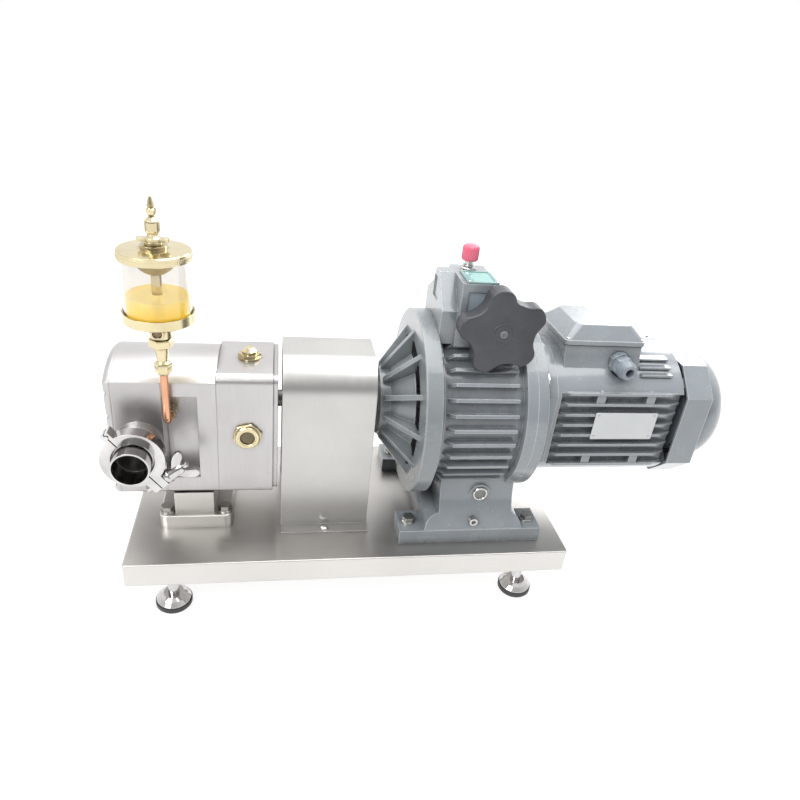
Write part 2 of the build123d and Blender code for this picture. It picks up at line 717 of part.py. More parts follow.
finish(oiler_adjuster, "oiler_adjuster")

ball_r = 4.4
lever_l = 13              # pivot to the lever's tip
slot_t = tongue_t + 0.4
with BuildPart() as oiler_lever:
    ball = [(z_pivot - ball_r * cos(radians(a)), ball_r * sin(radians(a))) for a in (12, 35, 60, 90)]
    turn(oiler_line, ball + [(z_pivot + 2, ball_r), (z_pivot + 3.5, 2.6), (z_pivot + 5, 3.6),
                             (z_pivot + 7, 3), (z_pivot + lever_l, 1.4)])
    block(x_oiler - 6, x_oiler + 6, y_oiler - slot_t / 2, y_oiler + slot_t / 2,
          sleeve_top - 1, z_pivot + tongue_r + 0.4, mode=Mode.SUBTRACT)
    turn(pivot_line, [(y_oiler - slot_t, lever_pin_r), (y_oiler + slot_t, lever_pin_r)])
finish(oiler_lever, "oiler_lever")

z_elbow = z_base + elbow_z
y_window = -half_w + window_d
with BuildPart() as feed_tube:
    with BuildLine() as route:
        FilletPolyline((x_oiler, y_oiler, z_feed_top - 46.2), (x_oiler, y_oiler, z_elbow),
                       (x_oiler, y_window - 11.8, z_elbow), radius=feed_bend_r)
    with BuildSketch(Plane(origin=route.line @ 0, z_dir=route.line % 0)):
        Circle(feed_r)
    sweep(path=route.line)
finish(feed_tube, "feed_tube")

elbow_line = y_line(x_oiler, z_elbow)
with BuildPart() as feed_fitting:
    turn(elbow_line, [(y_window - 16, 5.3), (y_window - 15, 6), (y_window - 8, 6),
                      (y_window - 8, 5), (y_window - 6, 5), (y_window - 6, 6), (y_window, 6)])
    drill(elbow_line, y_window - 17, y_window - 11.8, feed_r + bore_fit)
finish(feed_fitting, "feed_fitting")

with BuildPart() as oil_sight_glass:
    turn(y_line(x_sight, z_sight), [(-half_w - 6, 12), (-half_w - 5, 13), (-half_w - 3, 13),
                                    (-half_w - 3, 14.5), (-half_w, 14.5), (-half_w, 8.9),
                                    (-half_w + 10, 8.9)])
    drill(y_line(x_sight, z_sight), -half_w - 7, -half_w - 3, 8)
finish(oil_sight_glass, "oil_sight_glass")

z_gear_top = z_arris + gear_top
with BuildPart() as filler_plug:
    turn(z_line(x_filler, 0), [(z_gear_top - 8, 8.9), (z_gear_top, 8.9), (z_gear_top, 12.5),
                               (z_gear_top + 2, 12.5), (z_gear_top + 2, 8.5), (z_gear_top + 8, 8),
                               (z_gear_top + 10, 6), (z_gear_top + 12, 4)])
    place(hexagon(10.5), Plane(origin=(x_filler, 0, z_gear_top + 1), z_dir=(0, 0, 1)), 4.5)
finish(filler_plug, "filler_plug")

# ---------------------------------------------------------------- coupling and guard
with BuildPart() as coupling_hubs:
    for x, bore_r in ((x_hub_1, 9.5), (x_hub_2, 12)):
        turn(x_line(z_shaft), [(x, hub_r - 1), (x + 1, hub_r), (x + hub_l - 1, hub_r),
                               (x + hub_l, hub_r - 1)], bore=bore_r + bore_fit)
    for x, turned_by in ((x_spider, 0), (x_hub_2 - spider_l + 1, 60)):
        with BuildSketch(across(x)):
            with Locations((0, z_shaft)):
                with PolarLocations(jaw_place, 3, start_angle=turned_by):
                    Rectangle(jaw_size, jaw_w)
        extrude(amount=spider_l - 1)
finish(coupling_hubs, "coupling_hubs")

with BuildPart() as coupling_spider:
    with BuildSketch(across(x_spider)):
        with Locations((0, z_shaft)):
            Circle(jaw_place - jaw_size / 2 - 1)
            with PolarLocations(jaw_place - 2, 6, start_angle=30):
                Rectangle(jaw_size + 2, spider_lobe)
            Circle(7, mode=Mode.SUBTRACT)
    extrude(amount=spider_l)
finish(coupling_spider, "coupling_spider")

guard_half = guard_w / 2


def guard_outline(inset):
    half = guard_half - inset
    top = guard_top - inset
    bend = guard_round - inset
    with BuildSketch(Plane.XY, mode=Mode.PRIVATE) as section:
        with BuildLine():
            FilletPolyline((-half, 0), (-half, top), (half, top), (half, 0), radius=bend)
            Line((-half, 0), (half, 0))
        make_face()
    return section.sketch


with BuildPart() as coupling_guard:
    place(guard_outline(0), Plane(origin=(x_guard, 0, z_base), x_dir=(0, 1, 0), z_dir=(1, 0, 0)), guard_l)
    for side in (-1, 1):
        outer = side * (guard_half + guard_flange)
        inner = side * (guard_half - 1)
        block(x_guard, x_guard_end, min(outer, inner), max(outer, inner), z_base, z_base + guard_t)
    place(guard_outline(guard_t), Plane(origin=(x_guard - 1, 0, z_base - 0.01), x_dir=(0, 1, 0),
                                        z_dir=(1, 0, 0)), guard_l + 2, mode=Mode.SUBTRACT)
    for x, y in guard_bolts:
        drill(z_line(x, y), z_base - 1, z_base + 3, 2.7)
finish(coupling_guard, "coupling_guard")

with BuildPart() as guard_screws:
    for x, y in guard_bolts:
        turn(z_line(x, y), [(z_base, 2.5), (z_base + guard_t, 2.5), (z_base + guard_t, 5),
                            (z_base + guard_t + 2, 4.2), (z_base + guard_t + 3, 2)])
finish(guard_screws, "guard_screws")

# ---------------------------------------------------------------- variator
barrel_wall = 12
with BuildPart() as variator_cone:
    turn(x_line(z_shaft), [(x_cone, neck_r - 4), (x_cone + 3, neck_r), (x_cone + 14, neck_r),
                           (x_flange - 4, 58), (x_flange, 62), (x_flange, ring_r - 1),
                           (x_flange + 1, ring_r), (x_barrel, ring_r)], bore=14)
    with BuildSketch(x_line(z_shaft)) as rib_profile:
        with BuildLine():
            Polyline((x_cone + 6, neck_r - 4), (x_cone + 6, neck_r + 4), (x_flange + 1, ring_r - 18),
                     (x_flange + 1, neck_r - 4), close=True)
        make_face()
    rib = extrude(amount=3, both=True)
    for k in range(1, cone_ribs):
        add(rib.rotate(Axis((0, 0, z_shaft), (1, 0, 0)), k * 360 / cone_ribs))
    drill(x_line(z_shaft), x_cone + 8, x_flange, 30)
    drill(x_line(z_shaft), x_flange - 1, x_barrel + 1, 76)
finish(variator_cone, "variator_cone")

x_column = x_flange + column_x
x_wheel = x_flange + wheel_x
z_wheel = z_shaft + wheel_z
x_input = x_motor - input_t
z_rail_top = z_base + rail_t
x_level = x_flange + 84   # oil sight glass and drain plug of the variator
z_level = z_base + 56
x_drain = x_flange + 77
z_drain = z_rail_top + 8
toe_front = 18            # the column's toes beyond its sides
toe_back = 12
toe_h = 16
column_half = column_w / 2
def column_front():
    # the column flares down to the rails
    foot = rail_w / 2 - 1
    waist = z_shaft - 60
    with BuildSketch(Plane.XY, mode=Mode.PRIVATE) as section:
        with BuildLine():
            for side in (-1, 1):
                Spline((side * column_half, waist), (side * (column_half + 7), z_rail_top + 24),
                       (side * foot, z_rail_top), tangents=((0, -1), (side * 0.8, -1)))
                Line((side * foot, z_rail_top), (side * foot, z_base))
                Line((side * column_half, waist), (side * column_half, z_shaft))
            Line((-foot, z_base), (foot, z_base))
            Line((-column_half, z_shaft), (column_half, z_shaft))
        make_face()
    return section.sketch


with BuildPart() as variator_body:
    place(column_front(), across(x_column - toe_front), column_l + toe_front + toe_back)
    for edge, way, toe in ((x_column, -1, toe_front), (x_column + column_l, 1, toe_back)):
        block(min(edge, edge + way * (toe + 1)), max(edge, edge + way * (toe + 1)), -rail_w, rail_w,
              z_rail_top + toe_h, z_shaft + 1, mode=Mode.SUBTRACT)
        with BuildSketch(facing(rail_w)):
            with BuildLine():
                RadiusArc((edge + way * toe, z_rail_top), (edge, z_rail_top + toe_h), way * -20)
                Polyline((edge, z_rail_top + toe_h), (edge, z_rail_top + toe_h + 1),
                         (edge + way * (toe + 1), z_rail_top + toe_h + 1),
                         (edge + way * (toe + 1), z_rail_top), (edge + way * toe, z_rail_top))
            make_face()
        extrude(amount=2 * rail_w, mode=Mode.SUBTRACT)
    turn(x_line(z_shaft), [(x_barrel, fin_tip_r), (x_barrel + 5, fin_tip_r), (x_barrel + 5, barrel_r),
                           (x_input, barrel_r), (x_input, input_r), (x_motor, input_r)])
    with BuildSketch(x_line(z_shaft)) as fin_profile:
        with BuildLine():
            Polyline((x_barrel + 7, barrel_r - 1), (x_barrel + 9, barrel_r), (x_barrel + 17, fin_tip_r),
                     (x_input - 8, fin_tip_r), (x_input - 8, barrel_r - 1), close=True)
        make_face()
    fin = extrude(amount=fin_t / 2, both=True, mode=Mode.PRIVATE)
    add([fin.rotate(Axis((0, 0, z_shaft), (1, 0, 0)), fin_turn + k * 360 / fin_count)
         for k in range(fin_count)])
    for side in (-1, 1):
        outer = side * rail_w / 2
        inner = side * (rail_w / 2 - rail_depth)
        block(x_rail, x_rail + rail_l, min(outer, inner), max(outer, inner), z_base, z_rail_top)
    for side in (-1, 1):
        turn(y_line(x_level, z_level), [(side * 60, 13), (side * (column_half + 4), 12)])
    drill(x_line(z_shaft), x_barrel - 1, x_input, barrel_r - barrel_wall)
    drill(x_line(z_shaft), x_input - 1, x_motor + 1, 65)
    drill(y_line(x_level, z_level), -column_half - 5, -60, 9 + seat_fit)
    drill(y_line(x_drain, z_drain), -rail_w / 2 - 1, -60, 5 + seat_fit)
    drill(y_line(x_wheel, z_wheel), -fin_tip_r - 3, wheel_t - wheel_out + 1, wheel_r + wheel_gap)
    for x, y in rail_bolts:
        drill(z_line(x, y), z_base - 1, z_rail_top + 1, bolt_r + 0.5)
finish(variator_body, "variator_body")

tower_top = 160           # top of the control box above the shafts
tower_l = 40
tower_front = 46          # front of the control box from the shaft plane
slab_t = 18
slab_half = 37
z_tower = z_shaft + tower_top
x_tower = x_barrel + slab_t
wheel_boss_r = 24
with BuildPart() as control_box:
    with BuildSketch(across(x_barrel)):
        with BuildLine():
            Polyline((-slab_half, z_shaft + 70), (-slab_half - 3, z_tower - 33), (-8, z_tower), (8, z_tower),
                     (14, z_tower - 16), (slab_half + 3, z_tower - 33), (slab_half, z_shaft + 70), close=True)
        make_face()
    extrude(amount=slab_t)
    block(x_barrel - 1, x_barrel + 1.5, -12, 10, z_tower - 32, z_tower - 8, mode=Mode.SUBTRACT)
    block(x_tower - 1, x_tower + tower_l, -tower_front, 20, z_tower - 48, z_tower)
    tower_edges = control_box.edges().filter_by(Axis.Y).group_by(Axis.Z)[-1]
    fillet(tower_edges.sort_by(Axis.X)[-1], 4)
    block(x_tower + 6, x_tower + tower_l - 4, -tower_front - 1, -tower_front + 3, z_tower - 34, z_tower - 9,
          mode=Mode.SUBTRACT)
    block(x_tower - 1, x_barrel + 90, -42, 42, z_shaft + 60, z_tower - 32)
    fillet(control_box.edges().filter_by(Axis.Z).sort_by(Axis.X)[-2:], 8)
    turn(y_line(x_wheel, z_wheel), [(-54, wheel_boss_r - 2), (-52, wheel_boss_r), (-41, wheel_boss_r)])
    drill(x_line(z_shaft), x_barrel - 1, x_input, fin_tip_r + 0.2)
    drill(y_line(x_wheel, z_wheel), -60, 10, spindle_r + bore_fit)
finish(control_box, "control_box")

wheel_dip = 35            # between two lobes
star_points = []
for k in range(wheel_lobes):
    for offset, reach in ((-23, wheel_dip + 2.5), (-12, wheel_r - 2), (0, wheel_r), (12, wheel_r - 2),
                          (23, wheel_dip + 2.5), (36, wheel_dip)):
        angle = radians(wheel_turn + k * 360 / wheel_lobes + offset)
        star_points.append((reach * cos(angle), reach * sin(angle)))
with BuildPart() as handwheel:
    with BuildSketch(Plane(origin=(x_wheel, -wheel_out + wheel_t, z_wheel), x_dir=(1, 0, 0),
                           z_dir=(0, -1, 0))) as star:
        with BuildLine():
            Spline(*star_points, periodic=True)
        make_face()
    extrude(amount=wheel_t)
    fillet(handwheel.faces().sort_by(Axis.Y)[0].edges(), 2.5)
    turn(y_line(x_wheel, z_wheel), [(-wheel_out + wheel_t - 1, spindle_r), (5, spindle_r)])
finish(handwheel, "handwheel")

x_breather = x_flange + 51
with BuildPart() as breather:
    turn(z_line(x_breather, 0), [(z_tower, 9), (z_tower + 3, 9), (z_tower + 3, 5), (z_tower + 10, 5),
                                 (z_tower + 10, 8.3), (z_tower + 12, 9), (z_tower + 26, 9),
                                 (z_tower + 28, 7.5)])
finish(breather, "breather")

with BuildPart() as variator_plugs:
    turn(y_line(x_level, z_level), [(-column_half - 6, 8), (-column_half - 5, 9), (-61, 9)])
    turn(y_line(x_level, z_level), [(-column_half - 7, 6.5), (-column_half - 3, 6.5)], mode=Mode.SUBTRACT)
    turn(y_line(x_drain, z_drain), [(-rail_w / 2 + 3, 5), (-61, 5)])
    place(hexagon(2.5), Plane(origin=(x_drain, -rail_w / 2 + 6, z_drain), z_dir=(0, -1, 0)), 4, Mode.SUBTRACT)
finish(variator_plugs, "variator_plugs")

sun_r = 24
planet_r = 18
track_r = sun_r + 2 * planet_r
x_carrier = x_barrel + 14
x_planets = x_carrier + 14
roll_gap = 0.3
with BuildPart() as planet_carrier:
    turn(x_line(z_shaft), [(x_hub_2 + 2, 12), (x_cone + 9, 12), (x_cone + 9, 12.5), (x_carrier, 12.5),
                           (x_carrier, 58), (x_carrier + 8, 58)])
    with BuildSketch(across(x_carrier + 7)):
        with Locations((0, z_shaft)):
            with PolarLocations(sun_r + planet_r, 4):
                Circle(5)
    extrude(amount=30)
finish(planet_carrier, "planet_carrier")

with BuildPart() as planet_discs:
    with BuildSketch(across(x_planets)):
        with Locations((0, z_shaft)):
            with PolarLocations(sun_r + planet_r, 4):
                Circle(planet_r - roll_gap)
            with PolarLocations(sun_r + planet_r, 4):
                Circle(5 + bore_fit, mode=Mode.SUBTRACT)
    extrude(amount=12)
finish(planet_discs, "planet_discs")

x_sun = x_planets
with BuildPart() as sun_disc:
    turn(x_line(z_shaft), [(x_sun, sun_r), (x_sun + 12, sun_r), (x_sun + 12, 16), (x_sun + 22, 16)],
         bore=motor_shaft_r + bore_fit)
finish(sun_disc, "sun_disc")

with BuildPart() as track_ring:
    turn(x_line(z_shaft), [(x_planets - 2, barrel_r - barrel_wall - seat_fit),
                           (x_planets + 14, barrel_r - barrel_wall - seat_fit)], bore=track_r + roll_gap)
finish(track_ring, "track_ring")

# ---------------------------------------------------------------- motor
def motor_outline():
    # round top and bottom between flat sides
    with BuildSketch(Plane.XY, mode=Mode.PRIVATE) as section:
        Circle(frame_r)
        Rectangle(2 * frame_side, 2 * frame_r, mode=Mode.INTERSECT)
        fillet(section.vertices(), 2)
    return section.sketch


def on_shaft(x):
    return Plane(origin=(x, 0, z_shaft), x_dir=(0, 1, 0), z_dir=(1, 0, 0))


x_pad = x_shield + neck_l
with BuildPart() as motor_shield:
    turn(x_line(z_shaft), [(x_motor, input_r), (x_shield, input_r), (x_shield, 70), (x_pad + 1, 70)])
    place(motor_outline(), on_shaft(x_pad), x_frame - x_pad)
    drill(x_line(z_shaft), x_motor - 1, x_shield - 6, 56)
    drill(x_line(z_shaft), x_shield - 8, x_frame + 1, 30)
finish(motor_shield, "motor_shield")

stator_r = 58
lug_reach = (cowl_flat + cowl_corner) / sqrt(2) - cowl_wall
groove_h = (fin_rows - 1) * fin_pitch
x_box = x_front + box_x
tie_places = (x_box + 43, x_box + 104)
x_gland = x_box + 67
z_gland = z_shaft + 74
gland_bore_r = 5
gland_flange_r = 12.5
gland_thread_r = 9
y_box = -box_half
with BuildPart() as motor_frame:
    place(motor_outline(), on_shaft(x_frame), frame_l)
    for side in (-1, 1):
        outer = side * (frame_side + 1)
        inner = side * frame_core
        block(x_frame + 4, x_frame_end + 1, min(outer, inner), max(outer, inner),
              z_shaft - groove_h / 2, z_shaft + groove_h / 2, mode=Mode.SUBTRACT)
    for k in range(fin_rows):
        row = (k - (fin_rows - 1) / 2) * fin_pitch
        for side in (-1, 1):
            with BuildSketch(Plane.XY.offset(z_shaft + row - motor_fin_t / 2)):
                with BuildLine():
                    Polyline((x_frame + 3, side * (frame_core - 1)), (x_frame + 5, side * frame_core),
                             (x_frame + 14, side * frame_side), (x_frame_end - 16, side * frame_side),
                             (x_frame_end, side * (frame_core + 2)), (x_frame_end, side * (frame_core - 1)),
                             close=True)
                make_face()
            extrude(amount=motor_fin_t)
    for x in tie_places:
        for row in (-1, 1):
            for side in (-1, 1):
                outer = side * (frame_side - 1)
                inner = side * (frame_core - 1)
                middle = z_shaft + row * (groove_h - fin_pitch) / 2
                block(x - 5, x + 5, min(outer, inner), max(outer, inner), middle - fin_pitch / 2,
                      middle + fin_pitch / 2)
    for row in (64, 70, 76):
        reach = sqrt((frame_r + 3) ** 2 - row ** 2)
        block(x_box + box_l, x_frame_end - 14, -reach, reach, z_shaft + row - 1.3, z_shaft + row + 1.3)
    with BuildSketch(across(x_box)):
        with BuildLine():
            z_foot = z_shaft + 45
            z_box_top = z_shaft + box_h
            for side in (-1, 1):
                Spline((side * box_half, z_box_top), (side * (box_half + 5), z_shaft + 72),
                       (side * (frame_side - 3), z_foot))
            Line((-box_half, z_box_top), (box_half, z_box_top))
            Line((3 - frame_side, z_foot), (frame_side - 3, z_foot))
        make_face()
    extrude(amount=box_l)
    with BuildSketch(across(x_frame_end - 10)):
        with Locations((0, z_shaft)):
            with PolarLocations(lug_reach - lug_t / 2, 4, start_angle=45):
                Rectangle(lug_t, lug_w)
    extrude(amount=10 + cowl_gap + 8)
    drill(y_line(x_gland, z_gland), -frame_side, y_box, gland_flange_r + 0.8)
    drill(y_line(x_gland, z_gland), y_box - 1, y_box + 7, gland_thread_r + seat_fit)
    drill(x_line(z_shaft), x_frame - 1, x_frame_end - 10, stator_r + seat_fit)
    drill(x_line(z_shaft), x_frame_end - 12, x_frame_end + 1, 24)
finish(motor_frame, "motor_frame")

z_lid_low = z_shaft + box_h
x_box_mid = x_box + box_l / 2
with BuildPart() as terminal_lid:
    with BuildSketch(Plane.XY.offset(z_lid_low)):
        with Locations((x_box_mid, 0)):
            RectangleRounded(98, 84, 6)
    extrude(amount=5)
    with BuildSketch(Plane.XY.offset(z_lid_low + 5)):
        with Locations((x_box_mid, 0)):
            RectangleRounded(96, 82, 6)
    with BuildSketch(Plane.XY.offset(z_lid_low + 20)):
        with Locations((x_box_mid, 0)):
            RectangleRounded(68, 60, 8)
    loft()
finish(terminal_lid, "terminal_lid")

with BuildPart() as cable_gland:
    turn(y_line(x_gland, z_gland), [(y_box - 1.5, gland_flange_r), (y_box, gland_flange_r),
                                    (y_box, gland_thread_r), (y_box + 6, gland_thread_r)])
    place(hexagon(11.5), Plane(origin=(x_gland, y_box - 1, z_gland), z_dir=(0, -1, 0)), 8)
    turn(y_line(x_gland, z_gland), [(y_box - 32, 7), (y_box - 31, 8.5), (y_box - 27, 10.5), (y_box - 20, 11),
                                    (y_box - 11, 11), (y_box - 11, 10), (y_box - 8, 10)])
    drill(y_line(x_gland, z_gland), y_box - 33, y_box + 7, gland_bore_r)
finish(cable_gland, "cable_gland")

with BuildPart() as stator:
    turn(x_line(z_shaft), [(x_frame + 14, stator_r - 12), (x_frame + 36, stator_r - 12),
                           (x_frame + 36, stator_r), (x_frame + 116, stator_r),
                           (x_frame + 116, stator_r - 12), (x_frame + 136, stator_r - 12)], bore=36)
finish(stator, "stator")

with BuildPart() as motor_rotor:
    turn(x_line(z_shaft), [(x_sun + 1, motor_shaft_r), (x_shield, motor_shaft_r), (x_shield, 12),
                           (x_frame + 34, 12), (x_frame + 34, 35.5), (x_frame + 118, 35.5),
                           (x_frame + 118, 12), (x_frame_end - 10, 12), (x_frame_end - 10, 10),
                           (x_cowl + 34, 10)])
finish(motor_rotor, "motor_rotor")

with BuildPart() as fan:
    turn(x_line(z_shaft), [(x_cowl + 12, 18), (x_cowl + 34, 18)], bore=10 + bore_fit)
    turn(x_line(z_shaft), [(x_cowl + 12, 58), (x_cowl + 15, 58)], bore=12)
    with BuildSketch(across(x_cowl + 13)):
        with Locations((0, z_shaft)):
            with PolarLocations(38, 8):
                Rectangle(42, 2.5)
    extrude(amount=20)
finish(fan, "fan")


def cowl_outline(inset):
    flat = cowl_flat - inset
    corner = cowl_corner - inset * tan(radians(22.5))
    ring = [(flat, corner), (corner, flat), (-corner, flat), (-flat, corner), (-flat, -corner),
            (-corner, -flat), (corner, -flat), (flat, -corner)]
    with BuildSketch(Plane.XY, mode=Mode.PRIVATE) as section:
        Polygon(*ring)
    return section.sketch


with BuildPart() as fan_cowl:
    place(cowl_outline(0), on_shaft(x_cowl), cowl_band)
    fillet(fan_cowl.faces().sort_by(Axis.X)[-1].edges(), 4)
    for wall, mode in ((0, Mode.ADD), (cowl_wall, Mode.SUBTRACT)):
        start = x_cowl + cowl_band - 8
        with BuildSketch(x_line(z_shaft)):
            with BuildLine():
                Line((start, 0), (start, cowl_dome_r - wall))
                Line((start, cowl_dome_r - wall), (start + 12, cowl_dome_r - wall))
                Spline((start + 12, cowl_dome_r - wall), (x_end - 9 - wall, 61 - wall / 2),
                       (x_end - wall, cowl_end_r), tangents=((1, 0), (0, -1)))
                Line((x_end - wall, cowl_end_r), (x_end - wall, 0))
                Line((x_end - wall, 0), (start, 0))
            make_face()
        revolve(axis=Axis((0, 0, z_shaft), (1, 0, 0)), mode=mode)
    place(cowl_outline(cowl_wall), on_shaft(x_cowl - 1), cowl_band - 4, mode=Mode.SUBTRACT)
    with BuildSketch(across(x_end + 1)):
        with Locations((0, z_shaft)):
            for radius, count in ((14, 6), (24, 10), (34, 14)):
                with PolarLocations(radius, count):
                    SlotOverall(10, 4.5, rotation=90)
    extrude(amount=-12, mode=Mode.SUBTRACT)
finish(fan_cowl, "fan_cowl")

# ---------------------------------------------------------------- bearings and bolts
with BuildPart() as bearings:
    for z in shafts_z:
        for x in (x_front_bearing, x_rear_bearing):
            turn(x_line(z), [(x + 0.2, bearing_r), (x + bearing_w - 0.2, bearing_r)],
                 bore=bearing_shaft_r + bore_fit)
    turn(x_line(z_shaft), [(x_cone + 10, 29.9), (x_cone + 26, 29.9)], bore=12.5 + bore_fit)
    turn(x_line(z_shaft), [(x_shield - 1, 29.9), (x_frame - 1, 29.9)], bore=12 + bore_fit)
    turn(x_line(z_shaft), [(x_frame_end - 9, 23.9), (x_frame_end, 23.9)], bore=10 + bore_fit)
finish(bearings, "bearings")

with BuildPart() as hex_bolts:
    for places, top in ((bracket_bolts, z_base + plate_t), (rail_bolts, z_rail_top)):
        for x, y in places:
            turn(z_line(x, y), [(z_base - sheet_t - 6, bolt_r), (top, bolt_r), (top, 8), (top + 1.5, 8)])
            place(hexagon(bolt_head_r - 1), Plane(origin=(x, y, top + 1.5), z_dir=(0, 0, 1)), bolt_head_h)
    reach = flange_bolt_r / sqrt(2)
    for y in (-reach, reach):
        for z in (z_shaft - reach, z_shaft + reach):
            place(hexagon(6.5), Plane(origin=(x_shield, y, z), z_dir=(1, 0, 0)), 6.5)
finish(hex_bolts, "hex_bolts")

print("length", overall_l, "port height", z_port, "shaft height", z_shaft)
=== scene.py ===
from math import cos, pi, radians, sin, tau

import bmesh
import bpy
from mathutils import Matrix, Vector


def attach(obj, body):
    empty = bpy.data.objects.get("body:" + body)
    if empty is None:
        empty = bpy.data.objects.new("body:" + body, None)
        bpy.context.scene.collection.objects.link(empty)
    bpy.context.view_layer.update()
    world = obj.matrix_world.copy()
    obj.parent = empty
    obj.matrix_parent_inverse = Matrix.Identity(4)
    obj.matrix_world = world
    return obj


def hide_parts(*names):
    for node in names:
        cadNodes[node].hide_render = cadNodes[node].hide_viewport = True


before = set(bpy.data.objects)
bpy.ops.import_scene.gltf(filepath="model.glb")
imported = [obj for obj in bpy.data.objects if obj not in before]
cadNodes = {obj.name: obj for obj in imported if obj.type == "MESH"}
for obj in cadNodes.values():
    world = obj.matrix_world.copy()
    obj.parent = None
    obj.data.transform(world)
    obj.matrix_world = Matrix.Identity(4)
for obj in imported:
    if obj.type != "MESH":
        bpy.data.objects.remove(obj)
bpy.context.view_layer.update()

mm = 0.001
print("frame loaded", len(cadNodes), "nodes")


# small helpers for node trees
def addNode(tree, kind, **values):
    made = tree.nodes.new(kind)
    for name, value in values.items():
        if name in made.inputs:
            made.inputs[name].default_value = value
        else:
            setattr(made, name, value)
    return made


def join(tree, source, target):
    tree.links.new(source, target)


def newGroup(name, inputs, outputs):
    tree = bpy.data.node_groups.new(name, "ShaderNodeTree")
    for label, kind, value in inputs:
        socket = tree.interface.new_socket(label, in_out="INPUT", socket_type=kind)
        socket.default_value = value
    for label, kind in outputs:
        tree.interface.new_socket(label, in_out="OUTPUT", socket_type=kind)
    return tree, tree.nodes.new("NodeGroupInput"), tree.nodes.new("NodeGroupOutput")


def useGroup(tree, group, **values):
    made = tree.nodes.new("ShaderNodeGroup")
    made.node_tree = group
    for name, value in values.items():
        made.inputs[name].default_value = value
    return made


# brushed lines drawn out along one direction, with slow clouds under them
def brushedLinesGroup():
    tree, inside, outside = newGroup(
        "brushedLines",
        [("Fineness", "NodeSocketFloat", 900.0), ("Across", "NodeSocketVector", (0.02, 1.0, 1.0)),
         ("CloudSize", "NodeSocketFloat", 14.0)],
        [("Lines", "NodeSocketFloat"), ("Clouds", "NodeSocketFloat")])
    place = addNode(tree, "ShaderNodeTexCoord")
    stretch = addNode(tree, "ShaderNodeVectorMath", operation="MULTIPLY")
    join(tree, place.outputs["Object"], stretch.inputs[0])
    join(tree, inside.outputs["Across"], stretch.inputs[1])
    lines = addNode(tree, "ShaderNodeTexNoise", Detail=3.0, Roughness=0.6)
    join(tree, stretch.outputs[0], lines.inputs["Vector"])
    join(tree, inside.outputs["Fineness"], lines.inputs["Scale"])
    clouds = addNode(tree, "ShaderNodeTexNoise", Detail=4.0, Roughness=0.55)
    join(tree, place.outputs["Object"], clouds.inputs["Vector"])
    join(tree, inside.outputs["CloudSize"], clouds.inputs["Scale"])
    join(tree, lines.outputs["Fac"], outside.inputs["Lines"])
    join(tree, clouds.outputs["Fac"], outside.inputs["Clouds"])
    return tree


# rounded edges for shading, and a mask that is 1 where an edge is
def softEdgeGroup():
    tree, inside, outside = newGroup(
        "softEdge",
        [("Radius", "NodeSocketFloat", 0.8 * mm), ("Sharpness", "NodeSocketFloat", 5.0)],
        [("Normal", "NodeSocketVector"), ("Edge", "NodeSocketFloat")])
    bevel = addNode(tree, "ShaderNodeBevel", samples=4)
    join(tree, inside.outputs["Radius"], bevel.inputs["Radius"])
    flat = addNode(tree, "ShaderNodeNewGeometry")
    dot = addNode(tree, "ShaderNodeVectorMath", operation="DOT_PRODUCT")
    join(tree, bevel.outputs[0], dot.inputs[0])
    join(tree, flat.outputs["Normal"], dot.inputs[1])
    turn = addNode(tree, "ShaderNodeMath", operation="SUBTRACT")
    turn.inputs[0].default_value = 1.0
    join(tree, dot.outputs["Value"], turn.inputs[1])
    gain = addNode(tree, "ShaderNodeMath", operation="MULTIPLY", use_clamp=True)
    join(tree, turn.outputs[0], gain.inputs[0])
    join(tree, inside.outputs["Sharpness"], gain.inputs[1])
    join(tree, bevel.outputs[0], outside.inputs["Normal"])
    join(tree, gain.outputs[0], outside.inputs["Edge"])
    return tree


# painted shade and dirt that gather in creases, found by ambient occlusion and broken up by blotches
def creaseGroup():
    tree, inside, outside = newGroup(
        "creaseDirtAndShade",
        [("Reach", "NodeSocketFloat", 8 * mm), ("Blotch", "NodeSocketFloat", 60.0)],
        [("DirtAndShade", "NodeSocketFloat")])
    near = addNode(tree, "ShaderNodeAmbientOcclusion", samples=6)
    join(tree, inside.outputs["Reach"], near.inputs["Distance"])
    place = addNode(tree, "ShaderNodeTexCoord")
    blotch = addNode(tree, "ShaderNodeTexNoise", Detail=4.0)
    join(tree, place.outputs["Object"], blotch.inputs["Vector"])
    join(tree, inside.outputs["Blotch"], blotch.inputs["Scale"])
    shut = addNode(tree, "ShaderNodeMath", operation="SUBTRACT")
    shut.inputs[0].default_value = 1.0
    join(tree, near.outputs["AO"], shut.inputs[1])
    both = addNode(tree, "ShaderNodeMath", operation="MULTIPLY")
    join(tree, shut.outputs[0], both.inputs[0])
    join(tree, blotch.outputs["Fac"], both.inputs[1])
    strong = addNode(tree, "ShaderNodeMath", operation="MULTIPLY", use_clamp=True)
    strong.inputs[1].default_value = 1.8
    join(tree, both.outputs[0], strong.inputs[0])
    join(tree, strong.outputs[0], outside.inputs["DirtAndShade"])
    return tree


